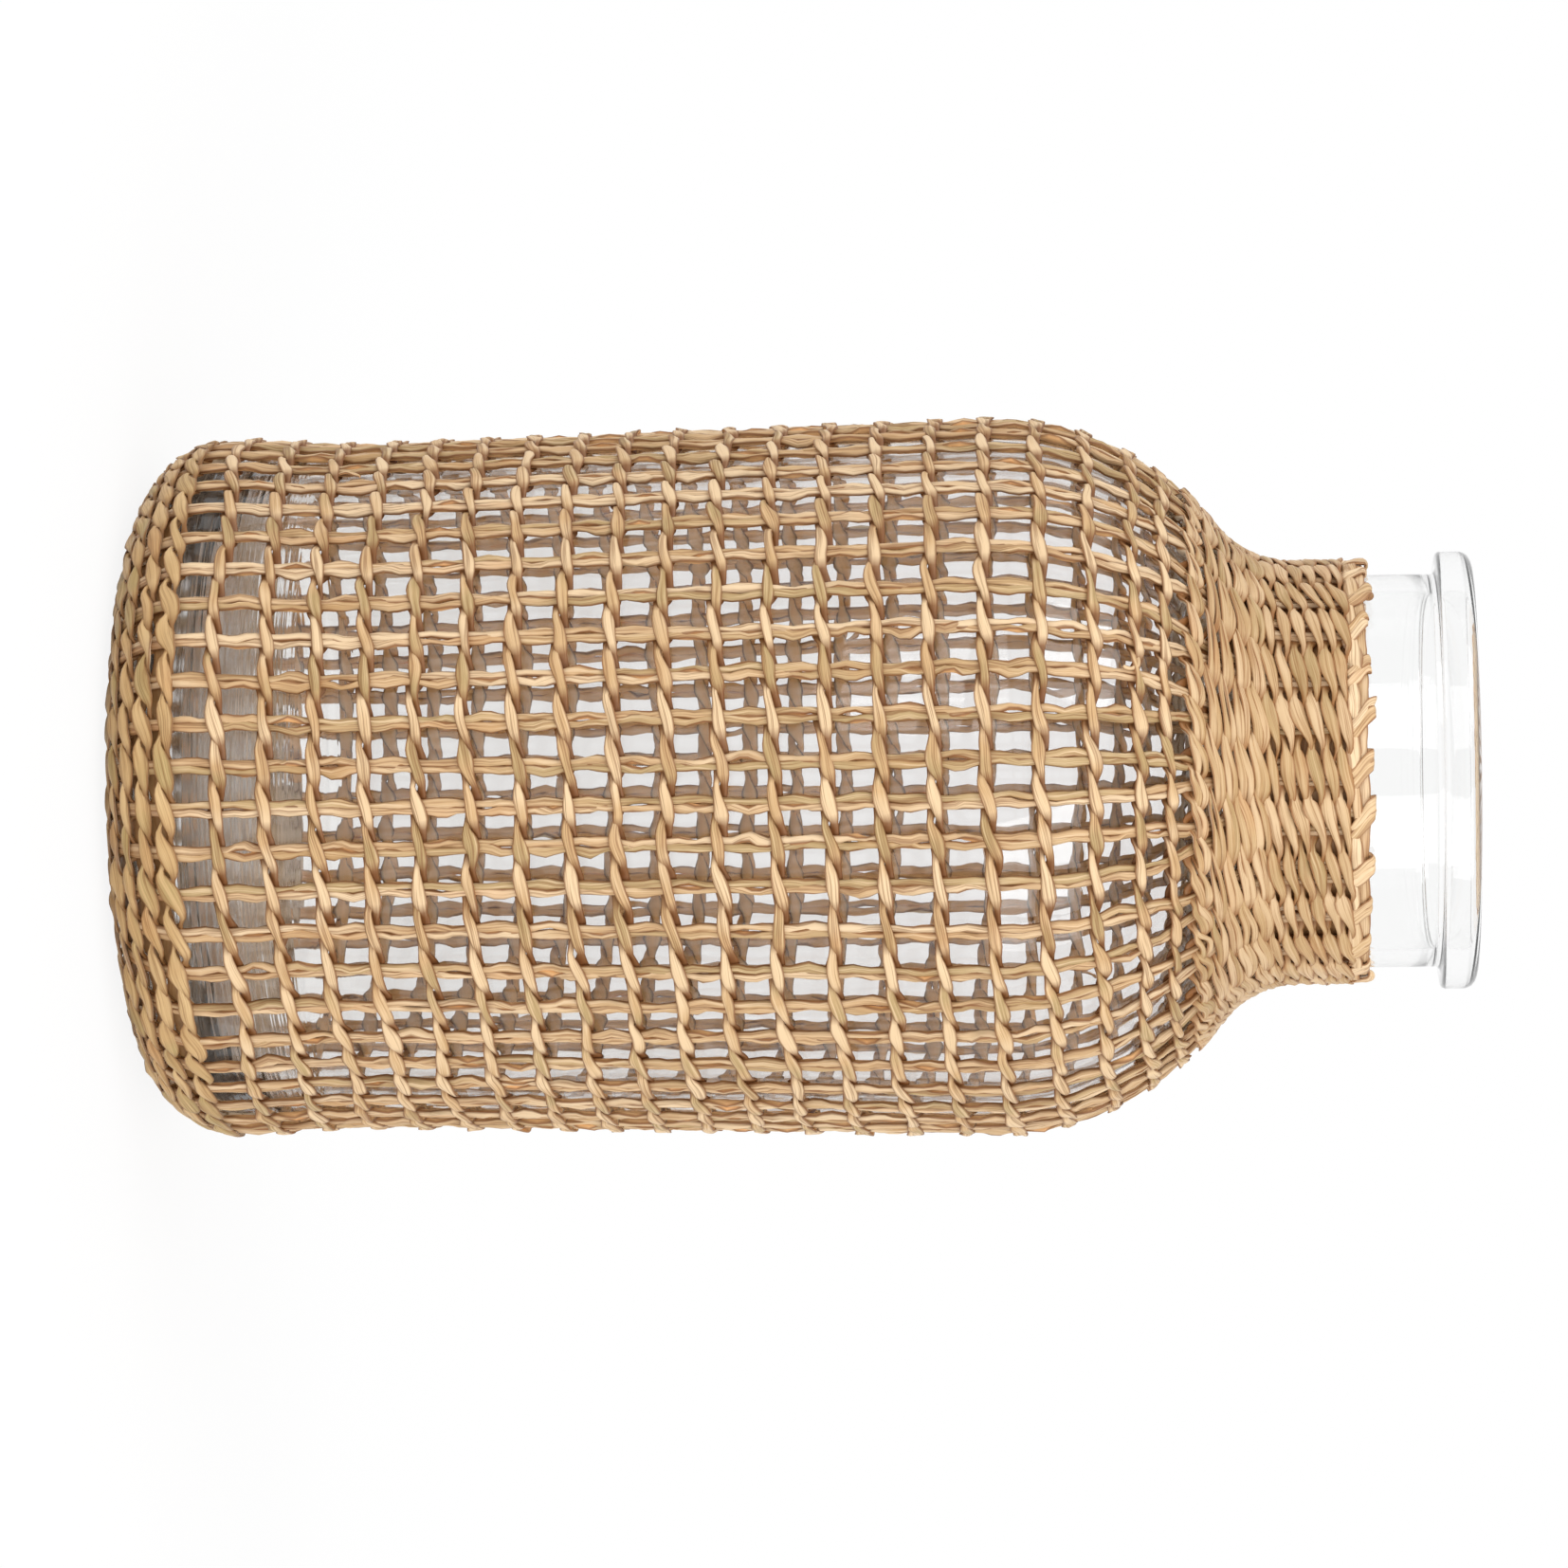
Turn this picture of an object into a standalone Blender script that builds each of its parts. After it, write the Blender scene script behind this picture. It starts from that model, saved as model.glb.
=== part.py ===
"""Glass vase in a woven sleeve of flat plant strands: a body with a round shoulder, a narrower
neck and a rolled lip, standing on a woven mat. Metres, +Z up, origin at the centre of the
underside. The front of the vase is its -Y side, and the woven spiral starts at the back."""

import math

import bmesh
import bpy
import numpy as np

MM = 0.001

# Glass
VASE_HEIGHT = 300.0 * MM
BODY_RADIUS_FOOT = 74.4 * MM
BODY_RADIUS_SHOULDER = 78.1 * MM
FOOT_CORNER = 16.0 * MM
SHOULDER_HEIGHT = 193.0 * MM
SHOULDER_RADIUS = 58.5 * MM
NECK_BEND_RADIUS = 25.0 * MM
NECK_RADIUS = 44.2 * MM
GLASS_WALL = 3.8 * MM
GLASS_FLOOR = 9.0 * MM
LIP_RADIUS = 49.2 * MM
LIP_HEIGHT = 8.0 * MM
LIP_ROUND = 2.6 * MM
MOUTH_ROUND = 1.4 * MM

# Sleeve strands
CLEARANCE = 0.3 * MM
STRAND_THICKNESS = 1.5 * MM
ROW_WIDTH = 3.5 * MM
BASE_STRAND_WIDTH = 3.8 * MM
NECK_STRAND_WIDTH = 3.0 * MM
STRAND_GAP = 0.5 * MM
STRAND_END_GAP = 0.4 * MM
BASE_TURNS = 5
ROW_COUNT = 20
NECK_TURNS = 11
BASE_BAND_INSET = 3.4 * MM
FIRST_ROW_STEP = 2.7 * MM
LATE_ROW_LIFT = 4.6 * MM
LIFT_FROM_TURN = 9.0
LIFT_OVER_TURNS = 8.0
SETTLE_OVER_TURNS = 2.0
BASE_SWELL = 2.0 * MM
SWELL_FADE = 30.0 * MM
TAPERED_WIDTH = 1.0 * MM

# Stakes, two to a pair
STAKE_PAIRS = 26
STAKE_WIDTH = 3.6 * MM
STAKE_THICKNESS = 1.2 * MM
STAKE_FOOT_GAP = 1.2 * MM
PAIR_GAP = 0.4 * MM

# Mat and border
MAT_THICKNESS = 2.0 * MM
BARE_NECK = 24.0 * MM
BORDER_HEIGHT = 4.4 * MM
BORDER_THICKNESS = 2.6 * MM
LOBE_DEPTH = 0.5 * MM

# Mesh fineness
GLASS_SIDES = 48
CORNER_STEPS = 3
SHOULDER_STEPS = 4
NECK_STEPS = 4
LOBE_STEPS = 4
BORDER_SIDES = 6
LOOP_STEPS = 4
TURN_SIDES = STAKE_PAIRS

# Where each layer of the sleeve lies, measured square to the glass
STAKE_DEPTH = CLEARANCE + STAKE_THICKNESS / 2
ROW_DEPTH = 2 * CLEARANCE + STAKE_THICKNESS + STRAND_THICKNESS / 2
GLASS_BOTTOM = MAT_THICKNESS + 2 * CLEARANCE + STAKE_THICKNESS

# The glass wall's outline, as lengths along it from the centre of the bottom
SHOULDER_CENTRE_R = BODY_RADIUS_SHOULDER - SHOULDER_RADIUS
NECK_CENTRE_R = NECK_RADIUS + NECK_BEND_RADIUS
CENTRES_APART = SHOULDER_RADIUS + NECK_BEND_RADIUS
BEND_ANGLE = math.acos((NECK_CENTRE_R - SHOULDER_CENTRE_R) / CENTRES_APART)
NECK_START_Z = SHOULDER_HEIGHT + CENTRES_APART * math.sin(BEND_ANGLE)
WALL_START_Z = GLASS_BOTTOM + FOOT_CORNER
WALL_LEAN = math.atan2(BODY_RADIUS_SHOULDER - BODY_RADIUS_FOOT, SHOULDER_HEIGHT - WALL_START_Z)
CORNER_AT = BODY_RADIUS_FOOT - FOOT_CORNER
WALL_AT = CORNER_AT + FOOT_CORNER * math.pi / 2
SHOULDER_AT = WALL_AT + (SHOULDER_HEIGHT - WALL_START_Z) / math.cos(WALL_LEAN)
BEND_AT = SHOULDER_AT + SHOULDER_RADIUS * BEND_ANGLE
NECK_AT = BEND_AT + NECK_BEND_RADIUS * BEND_ANGLE
BORDER_LOW_Z = VASE_HEIGHT - BARE_NECK - BORDER_HEIGHT


def wall(along):
    """Radius, height and outward normal of the glass's outer wall at lengths along it: a flat
    bottom, a quarter-circle corner, a leaning line, an outward arc, an inward arc and a line."""
    s = np.asarray(along, dtype=float)
    corner = (s - CORNER_AT) / FOOT_CORNER
    up = s - WALL_AT
    round_out = (s - SHOULDER_AT) / SHOULDER_RADIUS
    round_in = BEND_ANGLE - (s - BEND_AT) / NECK_BEND_RADIUS
    stretch = [s < CORNER_AT, s < WALL_AT, s < SHOULDER_AT, s < BEND_AT, s < NECK_AT]
    r = np.select(stretch, [
        s,
        CORNER_AT + FOOT_CORNER * np.sin(corner),
        BODY_RADIUS_FOOT + up * math.sin(WALL_LEAN),
        SHOULDER_CENTRE_R + SHOULDER_RADIUS * np.cos(round_out),
        NECK_CENTRE_R - NECK_BEND_RADIUS * np.cos(round_in),
    ], NECK_RADIUS)
    z = np.select(stretch, [
        0 * s + GLASS_BOTTOM,
        WALL_START_Z - FOOT_CORNER * np.cos(corner),
        WALL_START_Z + up * math.cos(WALL_LEAN),
        SHOULDER_HEIGHT + SHOULDER_RADIUS * np.sin(round_out),
        NECK_START_Z - NECK_BEND_RADIUS * np.sin(round_in),
    ], NECK_START_Z + s - NECK_AT)
    tilt = np.select(stretch, [
        0 * s - math.pi / 2,
        corner - math.pi / 2,
        0 * s - WALL_LEAN,
        round_out,
        round_in,
    ], 0.0)
    return r, z, np.cos(tilt), np.sin(tilt)


def smooth(x):
    """0 below 0, 1 above 1 and an S between."""
    x = np.clip(x, 0, 1)
    return x * x * (3 - 2 * x)


def sleeve(along, depth):
    """Radius and height of a strand lying at a depth over the glass. The sleeve swells off the
    glass above the corner, rising along it and fading again up the wall."""
    s = np.asarray(along, dtype=float)
    rise = np.clip((s - CORNER_AT) / (WALL_AT - CORNER_AT), 0, 1)
    off = depth + BASE_SWELL * rise * smooth(1 - (s - WALL_AT) / SWELL_FADE)
    r, z, out, up = wall(s)
    return r + off * out, z + off * up


def along_at_height(height):
    """Length along the neck's outline at which the glass stands at a height."""
    s = np.linspace(SHOULDER_AT, NECK_AT + VASE_HEIGHT, 4000)
    return float(np.interp(height, wall(s)[1], s))


def new_object(name, mesh, colour, roughness, transmission=0.0):
    """Object with a material of its own, placed under the vase's empty. Colour is as seen, 0-1."""
    obj = bpy.data.objects.new(name, mesh)
    bpy.context.scene.collection.objects.link(obj)
    obj.parent = bpy.data.objects["vase"]
    linear = [c / 12.92 if c < 0.04045 else ((c + 0.055) / 1.055) ** 2.4 for c in colour]
    material = bpy.data.materials.new(name)
    material.use_nodes = True
    shader = material.node_tree.nodes["Principled BSDF"]
    shader.inputs["Base Color"].default_value = (*linear, 1.0)
    shader.inputs["Roughness"].default_value = roughness
    shader.inputs["Metallic"].default_value = 0.0
    shader.inputs["Transmission Weight"].default_value = transmission
    obj.material_slots[0].link = "OBJECT"
    obj.material_slots[0].material = material
    return obj


def mesh_from(name, points, faces):
    """Mesh of an array of points and a list of faces, with one empty material slot."""
    mesh = bpy.data.meshes.new(name)
    mesh.from_pydata(points.reshape(-1, 3).tolist(), [], faces)
    mesh.materials.append(None)
    return mesh


def ribbon(name, first_edge, second_edge):
    """Flat mesh between two edges, each an array of points, one quad to a step."""
    points = np.stack([first_edge, second_edge], axis=1)
    steps = range(len(points) - 1)
    return mesh_from(name, points, [(2 * i, 2 * i + 1, 2 * i + 3, 2 * i + 2) for i in steps])


def thicken(obj, thickness):
    """Give a ribbon its strand's thickness, half to each side."""
    solid = obj.modifiers.new("thickness", "SOLIDIFY")
    solid.thickness = thickness
    solid.offset = 0.0
    solid.use_even_offset = True


def around(r, z, azimuth):
    """Points at radii, heights and azimuths."""
    return np.stack([r * np.cos(azimuth), r * np.sin(azimuth), z + 0 * azimuth], axis=-1)


def late_lift(turn):
    """How far the open rows lie above even spacing, by turn: it grows over the shoulder and is
    gone at the last row."""
    growing = smooth((turn - LIFT_FROM_TURN) / LIFT_OVER_TURNS)
    return LATE_ROW_LIFT * growing * smooth((ROW_COUNT - turn) / SETTLE_OVER_TURNS)


def spiral(name, start, pitch, turns, width, depth, taper=0.0, lift=None):
    """Ribbon that climbs the sleeve by a pitch in each turn from the back of the vase, and may
    taper over its last turn or be lifted by a function of its turn. Its sides are set out so
    that their middles clear the stakes. Returns the ribbon and its two edges."""
    steps = TURN_SIDES * turns
    turn = np.arange(steps + 1) / TURN_SIDES
    trim = STRAND_END_GAP / 2 / (math.tau * NECK_RADIUS)
    turn[0] += trim
    turn[-1] -= trim
    azimuth = math.pi / 2 + math.tau * turn
    middle = start + pitch * turn + (lift(turn) if lift else 0)
    half = width / 2 - taper / 2 * np.clip(turn - turns + 1, 0, 1)
    edges = []
    for side in (-1, 1):
        r, z = sleeve(middle + side * half, depth)
        edges.append(around(r / math.cos(math.pi / TURN_SIDES), z, azimuth))
    return ribbon(name, *edges), edges


def least_gap(edges):
    """Least distance between a turn's upper edge and the next turn's lower one."""
    lower, upper = edges
    apart = np.linalg.norm(lower[TURN_SIDES:] - upper[:-TURN_SIDES], axis=1)
    return float(apart.min())


def stations():
    """Lengths along the glass at which its outline and the stakes have their corners."""
    corner = np.linspace(CORNER_AT, WALL_AT, CORNER_STEPS + 1)
    shoulder = np.linspace(SHOULDER_AT, BEND_AT, SHOULDER_STEPS + 1)
    bend = np.linspace(BEND_AT, NECK_AT, NECK_STEPS + 1)[1:]
    return corner, shoulder, bend


def arc(centre_r, centre_z, radius, start, end, steps):
    """Points of a circle in the outline's plane, from one angle to another."""
    angles = np.linspace(start, end, steps + 1)
    return [(centre_r + radius * math.cos(a), centre_z + radius * math.sin(a)) for a in angles]


def make_glass():
    """The vase: one outline from the floor's middle up the inside, over the lip and down."""
    corner, shoulder, bend = stations()
    outer_s = np.concatenate([corner, shoulder, bend])
    r, z, out, up = wall(outer_s)
    floor_z = GLASS_BOTTOM + GLASS_FLOOR
    inner_corner = FOOT_CORNER - GLASS_WALL + CLEARANCE
    inner_r = BODY_RADIUS_FOOT - GLASS_WALL
    inside = arc(inner_r - inner_corner, floor_z + inner_corner, inner_corner,
                 -math.pi / 2, 0.0, CORNER_STEPS)
    above = len(corner)
    inside += list(zip((r - GLASS_WALL * out)[above:], (z - GLASS_WALL * up)[above:]))
    mouth_r = NECK_RADIUS - GLASS_WALL
    lip_low = VASE_HEIGHT - LIP_HEIGHT
    lip = arc(mouth_r + MOUTH_ROUND, VASE_HEIGHT - MOUTH_ROUND, MOUTH_ROUND,
              math.pi, math.pi / 2, 2)
    lip += arc(LIP_RADIUS - LIP_ROUND, VASE_HEIGHT - LIP_ROUND, LIP_ROUND, math.pi / 2, 0.0, 3)
    lip += [(LIP_RADIUS, lip_low + MOUTH_ROUND / 2), (LIP_RADIUS - MOUTH_ROUND / 2, lip_low)]
    lip += [(NECK_RADIUS, lip_low)]
    outside = list(zip(r, z))[::-1]
    outline = [(0.0, floor_z)] + inside + lip + outside + [(0.0, GLASS_BOTTOM)]
    points = np.array([(x, 0.0, height) for x, height in outline])
    mesh = bpy.data.meshes.new("glass_vase")
    edges = [(i, i + 1) for i in range(len(points) - 1)]
    mesh.from_pydata(points.tolist(), edges, [])
    mesh.materials.append(None)
    glass = new_object("glass_vase", mesh, (0.93, 0.95, 0.95), 0.03, transmission=1.0)
    screw = glass.modifiers.new("turned", "SCREW")
    screw.steps = GLASS_SIDES
    screw.render_steps = GLASS_SIDES
    screw.use_merge_vertices = True
    screw.merge_threshold = 0.01 * MM
    screw.use_smooth_shade = True


def make_mat():
    """The woven disc under the glass, whose underside is what the vase stands on."""
    radius = BASE_START - BASE_STRAND_WIDTH / 2 - STRAND_GAP
    bm = bmesh.new()
    bmesh.ops.create_cone(bm, cap_ends=True, segments=GLASS_SIDES, radius1=radius,
                          radius2=radius, depth=MAT_THICKNESS)
    mesh = bpy.data.meshes.new("base_mat")
    bm.to_mesh(mesh)
    bm.free()
    mesh.materials.append(None)
    mat = new_object("base_mat", mesh, (0.72, 0.58, 0.41), 0.75)
    mat.location.z = MAT_THICKNESS / 2


def make_stakes():
    """Upright strands, two to a node: up one side of the pair, round a loop at the border and
    down the other. They start under the glass, splay evenly up the body and close up on the
    neck. All nodes share one mesh and are turned about the vase's axis."""
    corner, shoulder, bend = stations()
    splay = math.pi / (2 * STAKE_PAIRS)
    foot = 2 * STAKE_PAIRS * (STAKE_WIDTH + STAKE_FOOT_GAP) / math.tau
    loop_radius = (STAKE_WIDTH + PAIR_GAP) / 2
    loop_z = VASE_HEIGHT - BARE_NECK - STAKE_THICKNESS - loop_radius - STAKE_WIDTH / 2
    top = along_at_height(loop_z)
    leg_s = np.concatenate([[foot], corner, [WALL_AT + SWELL_FADE], shoulder, bend])
    leg_s = np.append(leg_s[leg_s < top], top)
    r, z = sleeve(leg_s, STAKE_DEPTH)
    closing = np.clip((leg_s - SHOULDER_AT) / (BEND_AT - SHOULDER_AT), 0, 1)
    sideways = (1 - closing) * r * math.sin(splay) + closing * loop_radius
    turn = np.linspace(0, math.pi, LOOP_STEPS + 1)[1:-1]
    loop_side = -np.cos(turn)
    loop_up = np.sin(turn)
    flat_r = math.sqrt(r[-1] ** 2 - loop_radius ** 2)
    edges = []
    for reach in (STAKE_WIDTH / 2, -STAKE_WIDTH / 2):
        side = sideways + reach
        depth_r = np.sqrt(r ** 2 - sideways ** 2)
        left = np.stack([depth_r, -side, z], axis=-1)
        right = np.stack([depth_r, side, z], axis=-1)[::-1]
        loop = np.stack([0 * turn + flat_r, (loop_radius + reach) * loop_side,
                         z[-1] + (loop_radius + reach) * loop_up], axis=-1)
        edges.append(np.concatenate([left, loop, right]))
    mesh = ribbon("stake_pair", *edges)
    for number in range(STAKE_PAIRS):
        stake = new_object(f"stake_pair_{number + 1:02d}", mesh, (0.78, 0.64, 0.48), 0.62)
        stake.rotation_euler.z = math.tau * (number + 0.5) / STAKE_PAIRS
        thicken(stake, STAKE_THICKNESS)


def make_wefts():
    """Strands round the stakes: a close band over the bottom corner, open rows up the body, one
    node to a turn, and a close band over the shoulder's top and the neck."""
    mesh, edges = spiral("base_band", BASE_START, BASE_PITCH, BASE_TURNS, BASE_STRAND_WIDTH,
                         ROW_DEPTH + BASE_BULGE)
    print("base_band least gap to itself, mm:", round(least_gap(edges) / MM, 2))
    thicken(new_object("base_band", mesh, (0.73, 0.59, 0.42), 0.66), STRAND_THICKNESS)
    for number in range(ROW_COUNT):
        name = f"weft_row_{number + 1:02d}"
        mesh, edges = spiral(name, ROWS_START + ROW_PITCH * number, ROW_PITCH, 1, ROW_WIDTH,
                             ROW_DEPTH, lift=lambda turn: late_lift(number + turn))
        thicken(new_object(name, mesh, (0.75, 0.61, 0.45), 0.62), STRAND_THICKNESS)
    mesh, edges = spiral("neck_band", NECK_START, NECK_PITCH, NECK_TURNS, NECK_STRAND_WIDTH,
                         ROW_DEPTH + NECK_BULGE, taper=NECK_STRAND_WIDTH - TAPERED_WIDTH)
    print("neck_band least gap to itself, mm:", round(least_gap(edges) / MM, 2))
    thicken(new_object("neck_band", mesh, (0.80, 0.66, 0.50), 0.6), STRAND_THICKNESS)


def make_border():
    """The rim of folded strands round the stakes' loops: a ring with a lobe over each pair."""
    count = STAKE_PAIRS * LOBE_STEPS
    azimuth = math.tau * np.arange(count)[:, None] / count
    lobe = 0.5 - 0.5 * np.cos(STAKE_PAIRS * azimuth)
    round_section = math.tau * (np.arange(BORDER_SIDES)[None, :] + 0.5) / BORDER_SIDES
    flat = math.cos(math.pi / BORDER_SIDES)
    middle_z = BORDER_LOW_Z + BORDER_HEIGHT / 2
    inner_r, centre_z = sleeve(along_at_height(middle_z), ROW_DEPTH - STRAND_THICKNESS / 2)
    inner_r = inner_r / math.cos(math.pi / count) + CLEARANCE / 2
    thick = BORDER_THICKNESS - LOBE_DEPTH * (1 - lobe)
    tall = BORDER_HEIGHT - LOBE_DEPTH * (1 - lobe)
    r = inner_r + thick / 2 * (1 + np.cos(round_section) / flat)
    z = centre_z + tall / 2 * np.sin(round_section)
    points = around(r, z, azimuth)
    faces = []
    for i in range(count):
        for j in range(BORDER_SIDES):
            here, there = i * BORDER_SIDES, (i + 1) % count * BORDER_SIDES
            beside = (j + 1) % BORDER_SIDES
            faces.append((here + j, there + j, there + beside, here + beside))
    new_object("border", mesh_from("border", points, faces), (0.80, 0.66, 0.50), 0.6)


# Spacing of the turns, from the bands' own widths and the room between them. A bulge is how far
# a flat strand's middle dips into the bend that it lies across
BASE_PITCH = BASE_STRAND_WIDTH + STRAND_GAP
BASE_BULGE = (FOOT_CORNER + ROW_DEPTH) * (1 - math.cos(BASE_STRAND_WIDTH / 2 / FOOT_CORNER))
BASE_START = CORNER_AT + BASE_BAND_INSET
NECK_BULGE = (NECK_BEND_RADIUS - STAKE_DEPTH) * (1 - math.cos(BEND_ANGLE / NECK_STEPS / 2))
NECK_PITCH = (NECK_STRAND_WIDTH + STRAND_GAP) / (1 - (ROW_DEPTH + NECK_BULGE) / NECK_BEND_RADIUS)
NECK_END = along_at_height(BORDER_LOW_Z - CLEARANCE) - TAPERED_WIDTH / 2
NECK_START = NECK_END - NECK_PITCH * NECK_TURNS
ROWS_START = BASE_START + BASE_PITCH * BASE_TURNS + FIRST_ROW_STEP
ROW_PITCH = (NECK_START - ROWS_START) / ROW_COUNT

for old in list(bpy.data.objects):
    bpy.data.objects.remove(old, do_unlink=True)
empty = bpy.data.objects.new("vase", None)
bpy.context.scene.collection.objects.link(empty)
make_glass()
make_mat()
make_stakes()
make_wefts()
make_border()
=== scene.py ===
"""Looks of a glass vase in a woven sleeve of dried plant strands: a body with a round shoulder, a
narrower neck and a rolled lip, standing on a woven mat."""

import math

import bpy
import numpy as np
from mathutils import Matrix, Vector


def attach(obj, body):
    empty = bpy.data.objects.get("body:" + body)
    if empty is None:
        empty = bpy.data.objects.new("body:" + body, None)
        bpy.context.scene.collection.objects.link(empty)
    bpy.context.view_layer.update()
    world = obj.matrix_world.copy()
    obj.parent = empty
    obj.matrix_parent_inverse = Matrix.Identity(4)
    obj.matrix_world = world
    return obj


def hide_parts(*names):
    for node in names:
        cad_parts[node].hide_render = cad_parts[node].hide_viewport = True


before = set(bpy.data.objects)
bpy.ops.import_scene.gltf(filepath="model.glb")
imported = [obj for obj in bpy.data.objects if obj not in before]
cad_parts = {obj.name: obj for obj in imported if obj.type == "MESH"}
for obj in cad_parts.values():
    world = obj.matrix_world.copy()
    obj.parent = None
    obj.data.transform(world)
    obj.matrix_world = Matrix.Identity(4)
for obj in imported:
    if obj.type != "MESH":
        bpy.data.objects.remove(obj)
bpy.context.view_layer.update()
MM = 0.001

# Camera: far back and a little above the vase. The photograph shows the upright vase turned a
# quarter turn clockwise, so the camera is rolled until the vase's up runs to the picture's right.
EYE = Vector((0.0, -1328.0, 242.0)) * MM
AIM = Vector((1.0, 0.0, 144.5)) * MM
ROLL = math.radians(-0.82)
LENS = 134.64

forward = (AIM - EYE).normalized()
level = forward.cross(Vector((0, 0, 1))).normalized()
upright = level.cross(forward)
picture_right = upright * math.cos(ROLL) - level * math.sin(ROLL)
picture_up = -upright * math.sin(ROLL) - level * math.cos(ROLL)
camera = bpy.data.objects.new("camera", bpy.data.cameras.new("camera"))
bpy.context.scene.collection.objects.link(camera)
turned = Matrix((picture_right, picture_up, -forward)).transposed().to_4x4()
camera.matrix_world = Matrix.Translation(EYE) @ turned
camera.data.lens = LENS
camera.data.sensor_width = 36.0
camera.data.clip_start = 0.05
bpy.context.scene.camera = camera
bpy.context.scene.view_settings.view_transform = "Standard"

# Stage: a wide white floor under an even white surround, with two broad soft lamps in front of
# the vase, one to its right and one higher up to its left. Seen directly or through the glass,
# the surround is plain white.
FLOOR_SIZE = 12.0
FLOOR_WHITE = 0.96
SURROUND_LIGHT = 0.80
GLOW_NEAR_VASE = 0.88
GLOW_FROM = 0.25
GLOW_FULL = 0.60
KEY_PLACE = Vector((1.5, -2.0, 1.1))
KEY_SIZE = 2.2
KEY_POWER = 32.0
TOP_PLACE = Vector((-1.7, -1.4, 1.7))
TOP_SIZE = 1.8
TOP_POWER = 24.0
LAMPS_AIM = Vector((0, 0, 0.15))


def node_of(tree, kind, **values):
    """New shader node, with inputs set by name (underscores for spaces) or by number (n0, n1)."""
    node = tree.nodes.new(kind)
    for key, value in values.items():
        if key[0] == "n" and key[1:].isdigit():
            node.inputs[int(key[1:])].default_value = value
        elif hasattr(node, key):
            setattr(node, key, value)
        else:
            node.inputs[key.replace("_", " ")].default_value = value
    return node


def feed(tree, socket, value):
    """Give a node's input a value: a number, a colour or another node's socket."""
    if isinstance(value, bpy.types.NodeSocket):
        tree.links.new(value, socket)
    else:
        socket.default_value = value


def math_of(tree, operation, first, second):
    """Socket with the result of a sum of two values, each a number or a socket."""
    node = node_of(tree, "ShaderNodeMath", operation=operation)
    feed(tree, node.inputs[0], first)
    feed(tree, node.inputs[1], second)
    return node.outputs[0]


def reach(tree, value, low, high, to_low=0.0, to_high=1.0):
    """Socket with a value carried from one range to another and held there."""
    node = node_of(tree, "ShaderNodeMapRange", From_Min=low, From_Max=high, To_Min=to_low,
                   To_Max=to_high)
    tree.links.new(value, node.inputs["Value"])
    return node.outputs["Result"]


def seen_directly(tree):
    """Socket that is 1 for rays from the camera, from a glossy surface or through glass."""
    path = tree.nodes.new("ShaderNodeLightPath")
    either = math_of(tree, "MAXIMUM", path.outputs["Is Camera Ray"], path.outputs["Is Glossy Ray"])
    return math_of(tree, "MAXIMUM", either, path.outputs["Is Transmission Ray"])


world = bpy.data.worlds.new("surround")
bpy.context.scene.world = world
world.use_nodes = True
tree = world.node_tree
background = tree.nodes["Background"]
background.inputs["Color"].default_value = (1.0, 1.0, 1.0, 1.0)
strength = reach(tree, seen_directly(tree), 0.0, 1.0, SURROUND_LIGHT, 1.0)
tree.links.new(strength, background.inputs["Strength"])

floor_mesh = bpy.data.meshes.new("floor")
half = FLOOR_SIZE / 2
corners = [(-half, -half, 0), (half, -half, 0), (half, half, 0), (-half, half, 0)]
floor_mesh.from_pydata(corners, [], [(0, 1, 2, 3)])
floor = bpy.data.objects.new("floor", floor_mesh)
bpy.context.scene.collection.objects.link(floor)
paint = bpy.data.materials.new("floor white")
paint.use_nodes = True
tree = paint.node_tree
matt = tree.nodes["Principled BSDF"]
matt.inputs["Base Color"].default_value = (FLOOR_WHITE, FLOOR_WHITE, FLOOR_WHITE, 1.0)
matt.inputs["Roughness"].default_value = 0.9
matt.inputs["Specular IOR Level"].default_value = 0.0
glow = node_of(tree, "ShaderNodeEmission", Strength=1.0)
blend = tree.nodes.new("ShaderNodeMixShader")
place = tree.nodes.new("ShaderNodeTexCoord")
from_vase = node_of(tree, "ShaderNodeVectorMath", operation="LENGTH")
tree.links.new(place.outputs["Object"], from_vase.inputs[0])
fade = reach(tree, from_vase.outputs["Value"], GLOW_FROM, GLOW_FULL, GLOW_NEAR_VASE, 1.0)
tree.links.new(math_of(tree, "MULTIPLY", seen_directly(tree), fade), blend.inputs[0])
tree.links.new(matt.outputs[0], blend.inputs[1])
tree.links.new(glow.outputs[0], blend.inputs[2])
tree.links.new(blend.outputs[0], tree.nodes["Material Output"].inputs["Surface"])
floor_mesh.materials.append(paint)

for name, place, size, power in (("key", KEY_PLACE, KEY_SIZE, KEY_POWER),
                                 ("top", TOP_PLACE, TOP_SIZE, TOP_POWER)):
    lamp = bpy.data.objects.new(name, bpy.data.lights.new(name, "AREA"))
    lamp.data.size = size
    lamp.data.energy = power
    lamp.location = place
    lamp.rotation_euler = (LAMPS_AIM - place).to_track_quat("-Z", "Y").to_euler()
    bpy.context.scene.collection.objects.link(lamp)

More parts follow.
